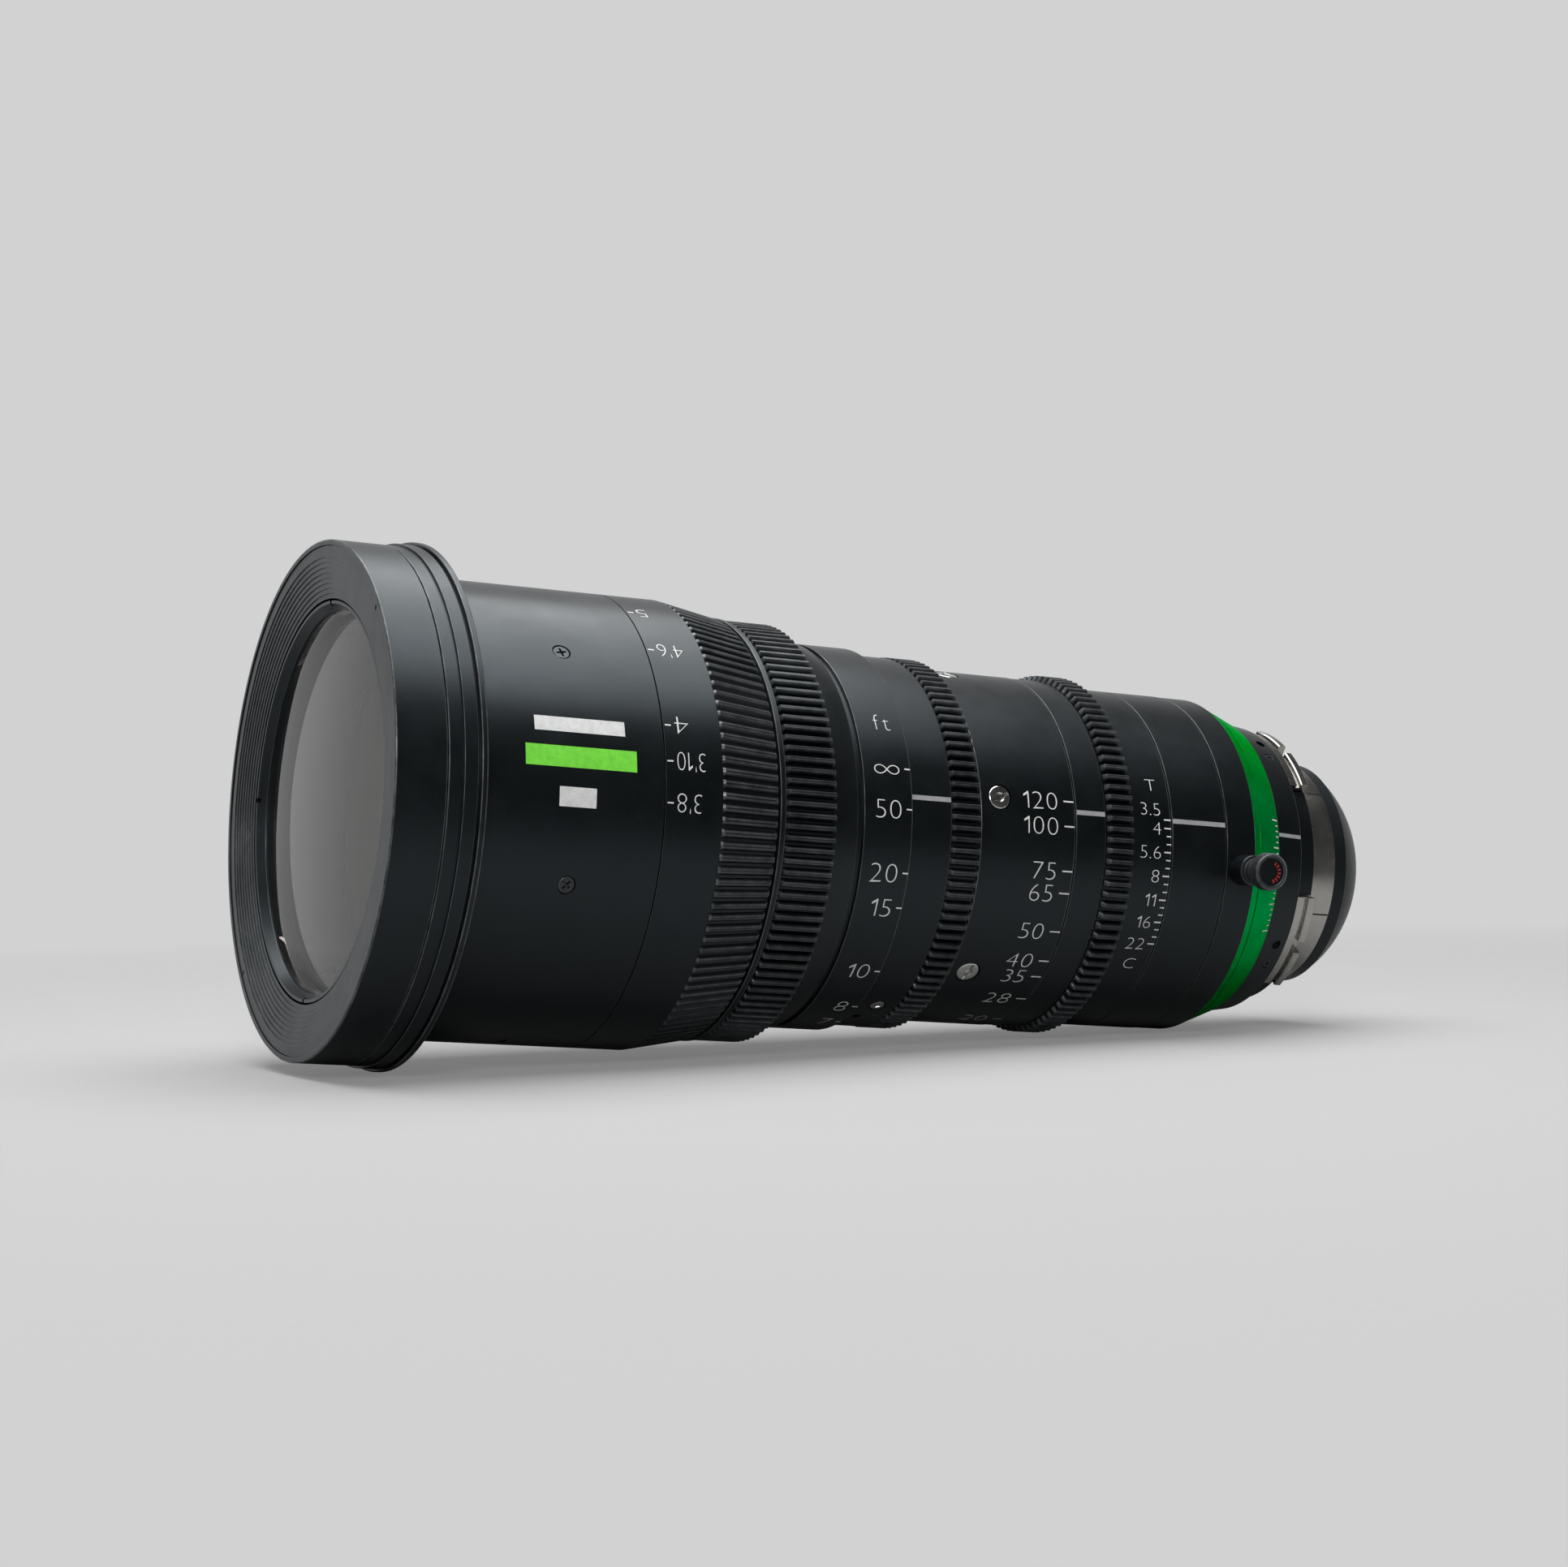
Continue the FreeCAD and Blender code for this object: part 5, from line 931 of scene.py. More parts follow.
class LENS_OT_front_barrel(bpy.types.Operator):
    """Front barrel with its countersunk screws, plugs and plain stripes"""

    bl_idname = "lens.front_barrel"
    bl_label = "Front Barrel"

    def execute(self, context):
        start, end, bore = 8.26, 62.6, 48.0
        outline = [(start, BARREL_RADIUS, 0), (end, BARREL_RADIUS, 0.04), (end, bore, corner()), (start, bore, 0)]
        mesh = turned("barrel", outline)
        screws_at = 42.3
        screws = [INDEX_ANGLE + side for side in (30, -30, 150, -150)]
        plugs = [INDEX_ANGLE + side for side in (90, -90)]
        cutters = [to_ring(screws_at, BARREL_RADIUS, angle, plug_cutter(2.1, 1.0, 0.3, 0.5)) for angle in screws]
        cutters += [to_ring(screws_at, BARREL_RADIUS, angle, plug_cutter(3.05, 0.6, 0.4)) for angle in plugs]
        stand_in("front_barrel", cut_away(mesh, cutters), "housing", "satin_black")
        heads = []
        for number, angle in enumerate(screws):
            head = screw_head(1.86, cross_recess(1.15, 0.24), 0.7, chamfer=0.18, foot=0.9)
            heads.append(to_ring(screws_at, 50.88, angle, head, 12 + number * 37))
        heads = joined("barrel_screws", heads, SMALL_SHARP)
        new_piece("barrel_screws", heads, "housing", "screw_black")
        sections = [(-0.6, 0.0, 0), (-0.6, 2.95, 0), (-0.14, 2.95, 1), (0.0, 2.8, 1), (0.02, 0.0, 0)]
        caps = [to_ring(screws_at, 50.86, angle, loft("plug", sections, circle(64), False, SMALL_SHARP))
                for angle in plugs]
        caps = joined("barrel_plugs", caps, SMALL_SHARP)
        new_piece("barrel_plugs", caps, "housing", "satin_black")
        white = [(33.2, 53.8, 22.0, 3.3), (38.6, 47.0, 4.4, 4.2)]
        for name, stripes, paint in (("barrel_white_stripes", white, "white_paint"),
                                     ("barrel_green_stripe", [(30.9, 56.2, 14.0, 4.6)], "green_paint")):
            mesh = write_marks(name, BARREL_RADIUS, [], stripes)
            new_piece(name, mesh, "housing", paint)
        return {"FINISHED"}


GLASSES = (
    # node, body, edge radius, edge thickness, front curve, rear curve, finish
    ("front_glass", "housing", 42.32, 6.5, 360.0, -500.0, "coated_outer_glass"),
    ("front_inner_glass", "housing", 38.9, 9.0, 190.0, 190.0, "coated_inner_glass"),
    ("focus_glass", "focus_group", 34.0, 7.0, 160.0, 160.0, "coated_inner_glass"),
    ("variator_glass", "variator", 25.0, 6.0, -150.0, -150.0, "coated_inner_glass"),
    ("compensator_glass", "compensator", 25.0, 3.5, 90.0, 90.0, "coated_inner_glass"),
    ("relay_glass", "housing", 25.0, 3.5, 90.0, 90.0, "coated_inner_glass"),
    ("macro_glass", "macro_group", 24.0, 3.5, 90.0, 90.0, "coated_inner_glass"),
    ("rear_glass", "housing", 15.0, 4.0, 45.0, -45.0, "coated_outer_glass"),
)


class LENS_OT_glasses(bpy.types.Operator):
    """The glass elements, smoothly curved and coated"""

    bl_idname = "lens.glasses"
    bl_label = "Glass Elements"

    def execute(self, context):
        for node, body, radius, edge, front, rear, finish in GLASSES:
            mesh = lens_shape(node + "_lens", radius, edge, front, rear)
            start = at(node) + max(0.0, bulge(front, radius))
            mesh.transform(Matrix.Translation((FRONT + start * MM, 0, 0)))
            new_piece(node + "_lens", mesh, body, finish, [node])
        return {"FINISHED"}


class LENS_OT_focus_ring(bpy.types.Operator):
    """Focus ring: smooth band, ribbed grip, gear, cone and scale band"""

    bl_idname = "lens.focus_ring"
    bl_label = "Focus Ring"

    def execute(self, context):
        edge = corner()
        start = at("focus_ring")
        foot = gear_foot(FOCUS_TEETH)
        wall, bore, neck, rib_chamfer = 47.5, 40.72, 43.6, 0.5
        front = [(0, wall, 0), (0, BARREL_RADIUS, 0.04), (13.25, BARREL_RADIUS, 0)]
        sections = rounded(shifted(start, front))[1:]
        sections += toothed(start + 13.6, start + 28.0, (50.25, 47.55), (50.95, 48.25), FOCUS_TEETH, rib_chamfer,
                            RIB_SHAPE)
        lip = [(28.4, 47.4, 0), (28.4, 48.3, 0.15), (29.7, 48.3, 0.15), (29.7, foot, 0)]
        sections += rounded(shifted(start, lip)) + gear(start + 30.3, start + 42.6, FOCUS_TEETH)
        rear = [(42.65, foot, 0), (49.1, FOCUS_BAND_RADIUS, 0.1), (49.1, neck, 0), (50.7, neck, 0)]
        rear += [(50.7, FOCUS_BAND_RADIUS, 0.12), (62.65, FOCUS_BAND_RADIUS, edge), (62.65, bore, 0)]
        rear += [(24.0, bore, 0), (24.0, 42.62, 0), (7.3, 42.62, 0), (7.3, bore, 0), (6.0, bore, 0)]
        rear += [(6.0, wall, 0), (0, wall, 0)]
        sections += rounded(shifted(start, rear))
        mesh = placed_loft("focus_ring_turned", sections, tooth_angles(FOCUS_TEETH, TOOTH_SHARES))
        stand_in("focus_ring", mesh, "focus_ring", "gear_black")
        return {"FINISHED"}


class LENS_OT_index_rings(bpy.types.Operator):
    """The three fixed rings that carry the index lines"""

    bl_idname = "lens.index_rings"
    bl_label = "Index Rings"

    def execute(self, context):
        edge = corner()
        first, second, third = INDEX_RADII
        screw_at, screw_angle = 131.4, -60.5
        outline = [(0, first, edge), (10.25, first, edge), (10.25, INDEX_BORE, 0), (0, INDEX_BORE, 0)]
        cutters = [to_ring(screw_at, first, screw_angle, plug_cutter(1.9, 0.9, 0.3)),
                   to_ring(129.0, first, -69.0, plug_cutter(1.0, 2.0, 0.3))]
        ring = cut_away(turned("ring", shifted(at("index_ring_1"), outline)), cutters)
        stand_in("index_ring_1", ring, "housing", "satin_black")
        head = screw_head(1.75, hex_recess(0.8), 0.7, foot=0.9)
        head = to_ring(screw_at, 42.9, screw_angle, head)
        new_piece("index_ring_screw", head, "housing", "screw_steel")
        outline = [(0, second, edge), (7.85, second, edge), (7.85, INDEX_BORE, 0), (0, INDEX_BORE, 0)]
        stand_in("index_ring_2", turned("ring", shifted(at("index_ring_2"), outline)), "housing", "satin_black")
        outline = [(0, third, edge), (14.6, third, edge), (14.6, 32.05, 0), (4.7, 32.05, 0)]
        outline += [(4.7, INDEX_BORE, 0), (0, INDEX_BORE, 0)]
        stand_in("index_ring_3", turned("ring", shifted(at("index_ring_3"), outline)), "housing", "satin_black")
        wide = sizes().index_width / MM
        spans = ((126.1, 135.9), (169.35, 176.8), (195.5, 209.7))
        lines = [write_marks("line", radius, [], [(*span, angle, wide)])
                 for angle in (INDEX_ANGLE, INDEX_ANGLE + FAR_SIDE) for radius, span in zip(INDEX_RADII, spans)]
        new_piece("index_lines", joined("index_lines", lines), "housing", "silver_line")
        return {"FINISHED"}


class LENS_OT_zoom_ring(bpy.types.Operator):
    """Zoom ring with its gear, recesses and slotted drive screws"""

    bl_idname = "lens.zoom_ring"
    bl_label = "Zoom Ring"

    def execute(self, context):
        start = at("zoom_ring")
        band = ZOOM_BAND_RADIUS
        neck = [(7.6, 40.6, 0), (8.1, 40.6, 0)]
        outline = [(8.1, 40.6, 0), (8.1, band, corner()), (32.45, band, corner()), (32.45, GEAR_RING_BORE, 0)]
        outline += [(0, GEAR_RING_BORE, 0)]
        ring = geared_ring("zoom_ring_turned", start, ZOOM_TEETH, 7.6, neck, outline)
        screw_at = start + 13.1
        angles = [16.3 + 60 * number for number in range(6)]
        cutters = [to_ring(screw_at, band, angle, plug_cutter(2.95, 1.6, 0.4)) for angle in angles]
        cutters += [to_ring(screw_at, band, angle, plug_cutter(1.95, 6.0, -1.2)) for angle in angles[::2]]
        stand_in("zoom_ring", cut_away(ring, cutters), "zoom_ring", "gear_black")
        shank = 1.85
        heads = []
        for number, angle in enumerate(angles):
            drives = number % 2 == 0
            recess = slot_recess(2.25, 0.36, 1.05)
            head = screw_head(2.78, recess, 0.75, dome=0.08, chamfer=0.3, foot=9.5 if drives else 1.5)
            if drives:
                for vertex in head.vertices:
                    if vertex.co.x < -1.5 * MM and vertex.co.yz.length > shank * MM:
                        vertex.co.yz = vertex.co.yz.normalized() * shank * MM
            heads.append(to_ring(screw_at, 41.12, angle, head, 25 + number * 47))
        new_piece("zoom_screws", joined("zoom_screws", heads, SMALL_SHARP), "zoom_ring", "screw_steel",
                  ["zoom_drive_screws"])
        return {"FINISHED"}


class LENS_OT_iris_ring(bpy.types.Operator):
    """Iris ring with its gear and scale band"""

    bl_idname = "lens.iris_ring"
    bl_label = "Iris Ring"

    def execute(self, context):
        band, bore, groove = IRIS_BAND_RADIUS, GEAR_RING_BORE, 37.75
        outline = [(6.9, 40.55, 0), (6.9, band, 0.03), (17.7, band, corner()), (17.7, bore, 0), (13.0, bore, 0)]
        outline += [(13.0, groove, 0), (10.6, groove, 0), (10.6, bore, 0), (0, bore, 0)]
        ring = geared_ring("iris_ring_turned", at("iris_ring"), IRIS_TEETH, 6.9, [], outline)
        stand_in("iris_ring", ring, "iris_ring", "gear_black")
        return {"FINISHED"}


MACRO_BAND_RADIUS = 39.9
SPIGOT_RADIUS = 27.0


class LENS_OT_macro_ring(bpy.types.Operator):
    """Macro ring, its coloured band, the boss and the knurled knob"""

    bl_idname = "lens.macro_ring"
    bl_label = "Macro Ring And Knob"

    def execute(self, context):
        start = at("macro_ring")
        ring_radius, bore, inner = 40.0, 32.1, 33.62

        def on_knob(mesh, radius=0):
            return to_ring(start + 4.5, radius, -1.2, mesh)

        outline = [(0, ring_radius, corner()), (7.7, ring_radius, 0.1), (7.7, 34.5, 0), (16.8, 34.5, 0)]
        outline += [(16.8, bore, 0), (7.6, bore, 0), (7.6, inner, 0), (1.2, inner, 0), (1.2, bore, 0), (0, bore, 0)]
        ring = cut_away(turned("macro", shifted(start, outline)), [on_knob(plug_cutter(3.64, 1.0, 1.0), ring_radius)])
        ring = cut_away(ring, [on_knob(plug_cutter(1.6, 9.0, 1.0), ring_radius)])
        stand_in("macro_ring", ring, "macro_ring", "satin_black")
        outline = [(0, MACRO_BAND_RADIUS, 0.08), (2.0, 39.09, 0), (2.0, 38.65, 0), (2.35, 38.65, 0)]
        outline += [(2.35, 38.95, 0), (9.06, 36.22, 0.15), (9.06, 34.55, 0), (0, 34.55, 0)]
        band = turned("band", shifted(start + 7.72, outline))
        band = cut_away(band, [on_knob(plug_cutter(3.66, 1.0, 1.5), ring_radius)])
        stand_in("macro_band", band, "macro_ring", "green_band")
        sections = [(39.05, 1.6, 0), (39.05, 3.58, 0), (44.4, 3.58, 0), (44.5, 3.58, 0), (44.72, 3.45, 1)]
        sections += [(44.78, 3.3, 1), (44.78, 2.6, 0), (44.78, 1.7, 0), (44.6, 1.6, 0)]
        boss = on_knob(loft("boss", sections, circle(96), True, SMALL_SHARP))
        stand_in("macro_boss", boss, "macro_ring", "satin_black")
        ridges, knurl_from, knurl_turn = 54, 49.55, 0.306
        crest = np.tile((0.0, 0.6, 1.0, 0.6), ridges)
        sections = [(31.25, 0.0, 0), (31.25, 1.4, 0), (31.4, 1.5, 1), (44.84, 1.5, 0), (44.84, 2.8, 0)]
        sections += [(44.95, 2.9, 1), (47.0, 2.9, 0), (47.0, 3.15, 0.6), (47.1, 3.2, 1), (49.2, 3.2, 0)]
        sections += [(49.2, 4.0, 0), (49.42, 4.15, 1)]
        for level in np.linspace(knurl_from, 52.0, 9):
            phase = np.roll(crest, int(round((level - knurl_from) / knurl_turn)) % 4)
            sections.append((level, 4.1 + 0.27 * phase, phase))
        sections += [(52.2, 4.17, 1), (52.4, 3.95, 1), (52.4, 3.3, 0.4), (52.32, 3.22, 1), (52.0, 3.2, 0)]
        sections += [(52.0, 0.0, 0)]
        knob = loft("knob", sections, tooth_angles(ridges, (0.0, 0.25, 0.5, 0.75)), False, SMALL_SHARP)
        stand_in("macro_knob", on_knob(knob), "macro_knob", "gear_black")
        ticks = [bar((0.06, 0.8, 0.34), (52.02 * MM, 2.2 * MM, 0), math.radians(-70 + number * 22))
                 for number in range(7)]
        ticks = joined("knob_ticks", [on_knob(tick) for tick in ticks])
        new_piece("knob_ticks", ticks, "macro_knob", "red_paint")
        return {"FINISHED"}


class LENS_OT_base_and_mount(bpy.types.Operator):
    """Base ring with its screws and holes, the steel mount and the black rear shroud"""

    bl_idname = "lens.base_and_mount"
    bl_label = "Base Ring And Mount"

    def execute(self, context):
        edge = corner()
        start = at("base_ring")
        front_radius, base_length, fall, bore = 35.6, 7.13, 1.1, 32.05
        outline = [(0, front_radius, edge), (base_length, 34.5, edge), (base_length, bore, 0), (0, bore, 0)]
        screw_at, screw_radius, screw_angle = 231.5, 34.95, 50.1
        quarters = [90 * number for number in range(4)]
        cutters = [to_ring(231.6, screw_radius, 59.4 + turn, plug_cutter(1.2, 1.5, 0.5)) for turn in quarters]
        cutters += [to_ring(screw_at, screw_radius, screw_angle + turn, plug_cutter(1.3, 0.8, 0.5, 0.3))
                    for turn in quarters]
        mesh = cut_away(turned("base", shifted(start, outline)), cutters)
        stand_in("base_ring", mesh, "housing", "satin_black")
        heads = []
        for number, turn in enumerate(quarters):
            head = screw_head(1.12, cross_recess(0.72, 0.15), 0.45, chamfer=0.12, foot=0.6)
            heads.append(to_ring(screw_at, screw_radius - 0.08, screw_angle + turn, head, 20 + number * 31))
        heads = joined("base_screws", heads, SMALL_SHARP)
        new_piece("base_screws", heads, "housing", "screw_black")
        line = write_marks("base_index_line", lambda along: front_radius - (along - start) * fall / base_length,
                           [], [(start + 0.25, start + 6.9, INDEX_ANGLE, 0.9)])
        new_piece("base_index_line", line, "housing", "silver_line")
        # Painted shade: thin black strips on the spigot stand for the shaded lines of its slits.
        shade_strips = [(244.6, 248.8, angle, 0.35) for angle in (-21.5, 45, 158.5, 225)]
        shade_strips = write_marks("spigot_slits", SPIGOT_RADIUS, [], shade_strips)
        new_piece("spigot_slits", shade_strips, "housing", "inner_black")
        dress("bright_steel", "mount_flange")
        dress("satin_black", "lug_blocks")
        dress("shroud_grey", "rear_shroud")
        return {"FINISHED"}


# Numerals with the lens angle of their ticks at rest, and on the second focus scale with a stretch
FOCUS_MARKS = (("∞", 21.03), ("50", 9.02), ("20", -9.34), ("15", -19.67), ("10", -41.5), ("8", -58.5), ("7", -70.0))
NEAR_MARKS = (("3'8", 4.8, 0.79), ("3'10", 15.0, 0.69), ("4", 24.2, 1.1), ("4'6", 47.2, 0.78), ("5", 64.6, 1.0))
ZOOM_MARKS = (("120", 16.5), ("100", 8.4), ("75", -5.8), ("65", -12.9), ("50", -25.9), ("40", -37.1), ("35", -43.9),
              ("28", -55.5), ("20", -72.0))
IRIS_MARKS = (("3.5", 13.46), ("4", 10.6), ("5.6", 2.64), ("8", -5.2), ("11", -13.2), ("16", -20.9), ("22", -28.9))


class LENS_OT_scales(bpy.types.Operator):
    """Numerals and ticks on the focus, zoom, iris and macro rings"""

    bl_idname = "lens.scales"
    bl_label = "Scales"

    def execute(self, context):
        size = sizes()
        tick = size.tick_width / MM
        words = [(text, 122.7, angle, 1.1 if text == "∞" else 1) for text, angle in FOCUS_MARKS]
        far = opposite(words)
        ticks = [(124.0, 125.35, angle, tick) for _, angle in FOCUS_MARKS]
        mesh = write_marks("focus_scale", FOCUS_BAND_RADIUS, words + [("ft", 122.3, 36.3, 0.8)] + far,
                           ticks + opposite(ticks), size.focus_numerals / MM)
        new_piece("focus_scale", mesh, "focus_ring", "white_paint")
        words = [(text, 65.6, angle, stretch) for text, angle, stretch in NEAR_MARKS]
        ticks = [(63.3, 64.7, angle, tick) for _, angle, _ in NEAR_MARKS]
        mesh = write_marks("focus_second_scale", BARREL_RADIUS, words, ticks, size.near_numerals / MM, flipped=True)
        new_piece("focus_second_scale", mesh, "focus_ring", "white_paint")
        words = [(text, 164.3, angle) for text, angle in ZOOM_MARKS]
        ticks = [(166.0, 168.6, angle, tick) for _, angle in ZOOM_MARKS]
        mesh = write_marks("zoom_scale", ZOOM_BAND_RADIUS, words + opposite(words), ticks + opposite(ticks),
                           size.zoom_numerals / MM)
        new_piece("zoom_scale", mesh, "zoom_ring", "white_paint")
        words = [("T", 191.8, 25.5), ("C", 191.8, -36.9), ("3.5", 192.2, 17.0)]
        words += [(text, 192.2, angle) for text, angle in IRIS_MARKS[1:]]
        ticks = [(193.1, 194.9, angle, tick) for _, angle in IRIS_MARKS]
        angles = [angle for _, angle in IRIS_MARKS]
        for high, low in zip(angles[1:-1], angles[2:]):
            ticks += [(193.7, 194.9, high + (low - high) * share, tick * 0.85) for share in (1 / 3, 2 / 3)]
        mesh = write_marks("iris_scale", IRIS_BAND_RADIUS, words + opposite(words), ticks + opposite(ticks),
                           size.iris_numerals / MM)
        new_piece("iris_scale", mesh, "iris_ring", "white_paint")
        first = at("macro_band")
        slope = (MACRO_BAND_RADIUS - 36.2) / 9.1
        intervals, sweep, first_angle = 20, 41.7, 18.2
        ticks = []
        for number in range(intervals + 1):
            start, width = (225.0, 1.0) if number % 5 == 0 else (225.9, 0.8)
            ticks.append((start, 226.75, first_angle - number * sweep / intervals, tick * width))
        mesh = write_marks("macro_scale", lambda along: MACRO_BAND_RADIUS - (along - first) * slope, [], ticks)
        new_piece("macro_scale", mesh, "macro_ring", "white_paint")
        return {"FINISHED"}


INNER_FINISHES = {
    "inner_black": ("front_cell", "relay_cell", "focus_cell", "variator_cell", "compensator_cell", "macro_cell",
                    "main_tube", "zoom_sleeve", "rear_tube", "cam_drum"),
    "inner_metal": ("iris_base", "iris_retainer", "iris_cam"),
    "ground_steel": ("focus_pins", "variator_pins", "compensator_pins", "macro_pins", "iris_keys"),
    "blade_steel": tuple(f"iris_blade_{number}" for number in range(1, 10)),
}


class LENS_OT_inner_parts(bpy.types.Operator):
    """Materials of the cells, tubes, pins and iris inside the lens"""

    bl_idname = "lens.inner_parts"
    bl_label = "Inner Parts"

    def execute(self, context):
        for finish, nodes in INNER_FINISHES.items():
            dress(finish, *nodes)
        return {"FINISHED"}


# The stage. Places of the floor and the camera are in mm, the floor's fade and the softboxes in metres.
# The floor is tilted, because the lens rests on its wider front: REST is a point (x, z) of the floor.

FLOOR_SLOPE = 0.0903
FLOOR_MIDDLE = -110.0
REST_X, REST_Z = -220.0, -58.2
FLOOR_FADE = (0.2, 0.6)
UNLIT_SIDE = (0.25, -0.97, 0.0)
GLASS_SHARE = 0.1
# Each softbox: place, aim and size
SOFTBOXES = {
    "overhead": ((-0.2, 0.03, 0.75), (-0.2, 0.0, 0), (0.85, 1.1)),
    "side": ((-0.72, 1.0, 0.1), (-0.2, 0, 0), (0.8, 0.9)),
    "key": ((-0.75, -1.2, 0.55), (-0.12, 0, 0), (0.35, 0.35)),
}
CAMERA_PLACE = (-487.3, -764.5, -14.3)
CAMERA_RIGHT = (0.9009, -0.4289, 0.0655)
CAMERA_FORWARD = (0.4278, 0.9034, 0.0311)


class LENS_OT_stage(bpy.types.Operator):
    """Pale floor, soft light, pale background and the camera"""

    bl_idname = "lens.stage"
    bl_label = "Stage"

    def execute(self, context):
        scene = context.scene
        stage = scene.lens_stage
        sections = [(0, radius, 0) for radius in (*np.linspace(1100, 60, 24), 0.0)]
        disc = loft("floor", sections, circle(96), closed=False)
        upright = Vector((-FLOOR_SLOPE, 0, 1)).normalized()
        turn = Vector((1, 0, 0)).rotation_difference(upright).to_matrix().to_4x4()
        turn.translation = Vector((FLOOR_MIDDLE, 0, REST_Z + (FLOOR_MIDDLE - REST_X) * FLOOR_SLOPE)) * MM
        disc.transform(turn)
        floor = bpy.data.objects.new("floor", disc)
        scene.collection.objects.link(floor)
        disc.materials.append(floor_material(stage))
        floor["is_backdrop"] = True
        build_world(scene, stage)
        for name, (place, aim, size) in SOFTBOXES.items():
            add_softbox(scene, name + "_softbox", place, aim, size, getattr(stage, name))
        add_camera(scene, stage)
        scene.view_settings.view_transform = "Standard"
        return {"FINISHED"}


def floor_material(stage):
    """A pale floor that fades out before its rim and can't be seen from below."""
    made, tree, shader = new_material("pale_floor")
    place = object_place(tree)
    split = add(tree, "ShaderNodeSeparateXYZ", Vector=place).outputs
    distance = from_axis(tree, minus(tree, split[0], FLOOR_MIDDLE * MM), split[1])
    front = minus(tree, 1.0, add(tree, "ShaderNodeNewGeometry").outputs["Backfacing"])
    seen = add(tree, "ShaderNodeLightPath").outputs["Is Camera Ray"]
    tone = tuple(stage.floor)
    set_inputs(tree, shader, Base_Color=mixed(tree, noise(tree, place, 900.0, 3.0), scaled(tone, 0.985), (*tone, 1)),
               Roughness=0.75, Specular_IOR_Level=0.2, Emission_Color=NO_TINT,
               Emission_Strength=times(tree, seen, stage.fill),
               Alpha=times(tree, ranged(tree, distance, *FLOOR_FADE, 1.0, 0.0), front))
    return made


def build_world(scene, stage):
    """A pale background for the eye, dimmer through glass, and in mirrors overhead and behind the viewer, with
    a soft room light for matt surfaces."""
    world = bpy.data.worlds.new("studio")
    scene.world = world
    world.use_nodes = True
    tree = world.node_tree
    tree.nodes.clear()
    path = add(tree, "ShaderNodeLightPath").outputs
    glossy, through = path["Is Glossy Ray"], path["Is Transmission Ray"]
    place = add(tree, "ShaderNodeTexCoord").outputs["Generated"]
    aimed = tree.nodes.new("ShaderNodeVectorMath")
    aimed.operation = "DOT_PRODUCT"
    feed(tree, aimed.inputs[0], place)
    feed(tree, aimed.inputs[1], UNLIT_SIDE)
    height = maths(tree, "ABSOLUTE", add(tree, "ShaderNodeSeparateXYZ", Vector=place).outputs[2])
    lit = times(tree, ranged(tree, aimed.outputs["Value"], -0.1, 0.6, 1.0, 0.1),
                ranged(tree, height, 0.3, 0.75, 1.0, 0.12))
    matt = minus(tree, 1.0, maths(tree, "MAXIMUM", glossy, through))
    seen = maths(tree, "MAXIMUM", path["Is Camera Ray"], times(tree, through, GLASS_SHARE))
    strength = maths(tree, "MAXIMUM", seen, plus(tree, times(tree, glossy, lit), times(tree, matt, stage.room)))
    back = add(tree, "ShaderNodeBackground", Color=(*stage.background, 1), Strength=strength)
    output = tree.nodes.new("ShaderNodeOutputWorld")
    tree.links.new(back.outputs[0], output.inputs[0])


def add_softbox(scene, name, place, aim, size, power):
    """A soft area lamp aimed at a point."""
    lamp = bpy.data.lights.new(name, "AREA")
    lamp.shape = "RECTANGLE"
    lamp.size, lamp.size_y = size
    lamp.energy = power
    thing = bpy.data.objects.new(name, lamp)
    scene.collection.objects.link(thing)
    thing.location = place
    thing.rotation_euler = (Vector(aim) - Vector(place)).to_track_quat("-Z", "Y").to_euler()


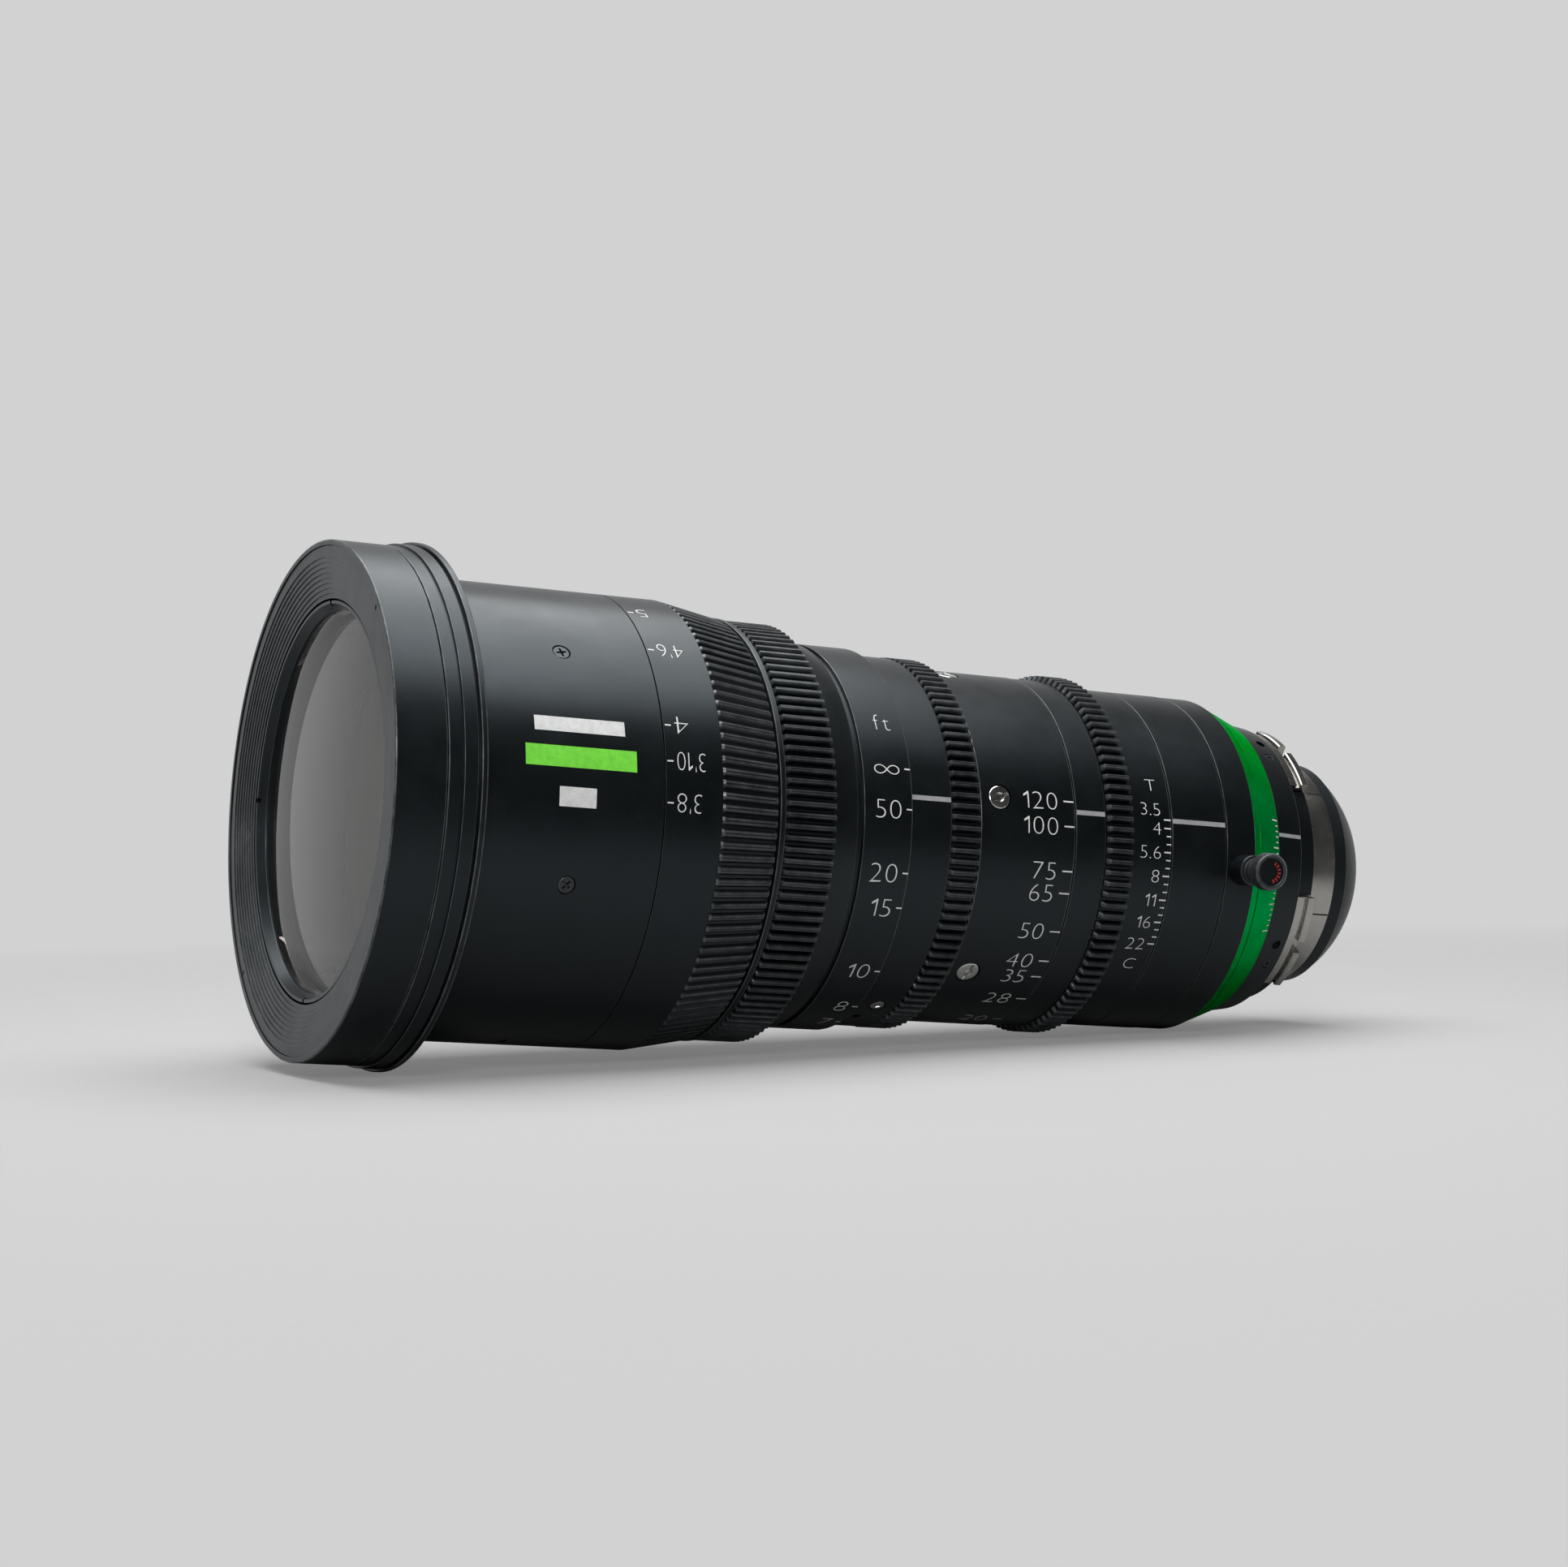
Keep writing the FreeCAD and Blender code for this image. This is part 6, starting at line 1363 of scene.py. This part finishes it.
def add_camera(scene, stage):
    """The camera that was matched to the photograph."""
    camera = bpy.data.cameras.new("photo_camera")
    camera.lens = stage.focal_length
    camera.sensor_width = 36.0
    camera.clip_start = 0.01
    camera.clip_end = 20.0
    viewer = bpy.data.objects.new("photo_camera", camera)
    scene.collection.objects.link(viewer)
    right = Vector(CAMERA_RIGHT).normalized()
    forward = Vector(CAMERA_FORWARD).normalized()
    up = right.cross(forward).normalized()
    basis = Matrix((right, up, -up.cross(right))).transposed().to_4x4()
    basis.translation = Vector(CAMERA_PLACE) * MM
    viewer.matrix_world = basis
    scene.camera = viewer


class LENS_PT_lens(bpy.types.Panel):
    """Lists the pieces of the lens and its settings"""

    bl_idname = "LENS_PT_lens"
    bl_label = "Cinema Zoom Lens"
    bl_space_type = "VIEW_3D"
    bl_region_type = "UI"
    bl_category = "Lens"

    def draw(self, context):
        layout = self.layout
        for operator in OPERATORS:
            layout.operator(operator.bl_idname)
        for title, group in (("Sizes", "lens_sizes"), ("Finishes", "lens_finishes"), ("Stage", "lens_stage")):
            box = layout.box()
            box.label(text=title)
            settings = getattr(context.scene, group)
            for name in settings.__annotations__:
                box.prop(settings, name)


OPERATORS = (
    LENS_OT_front_rings,
    LENS_OT_front_barrel,
    LENS_OT_glasses,
    LENS_OT_focus_ring,
    LENS_OT_index_rings,
    LENS_OT_zoom_ring,
    LENS_OT_iris_ring,
    LENS_OT_macro_ring,
    LENS_OT_base_and_mount,
    LENS_OT_scales,
    LENS_OT_inner_parts,
    LENS_OT_stage,
)
SETTINGS = {"lens_sizes": LensSizes, "lens_finishes": LensFinishes, "lens_stage": LensStage}


def register():
    for settings in SETTINGS.values():
        bpy.utils.register_class(settings)
    for name, settings in SETTINGS.items():
        setattr(bpy.types.Scene, name, bpy.props.PointerProperty(type=settings))
    for operator in OPERATORS:
        bpy.utils.register_class(operator)
    bpy.utils.register_class(LENS_PT_lens)


def unregister():
    bpy.utils.unregister_class(LENS_PT_lens)
    for operator in reversed(OPERATORS):
        bpy.utils.unregister_class(operator)
    for name in SETTINGS:
        delattr(bpy.types.Scene, name)
    for settings in reversed(SETTINGS.values()):
        bpy.utils.unregister_class(settings)


def corners(box):
    return [[float(number) for number in point] for point in box]


def main():
    """Builds every piece and works out the box before and after."""
    register()
    for operator in OPERATORS:
        group, name = operator.bl_idname.split(".")
        if getattr(getattr(bpy.ops, group), name)() != {"FINISHED"}:
            raise RuntimeError(operator.bl_label + " wasn't built")
    {"cad": corners(CAD_BOX), "visual": corners(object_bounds())}


if __name__ == "__main__":
    main()
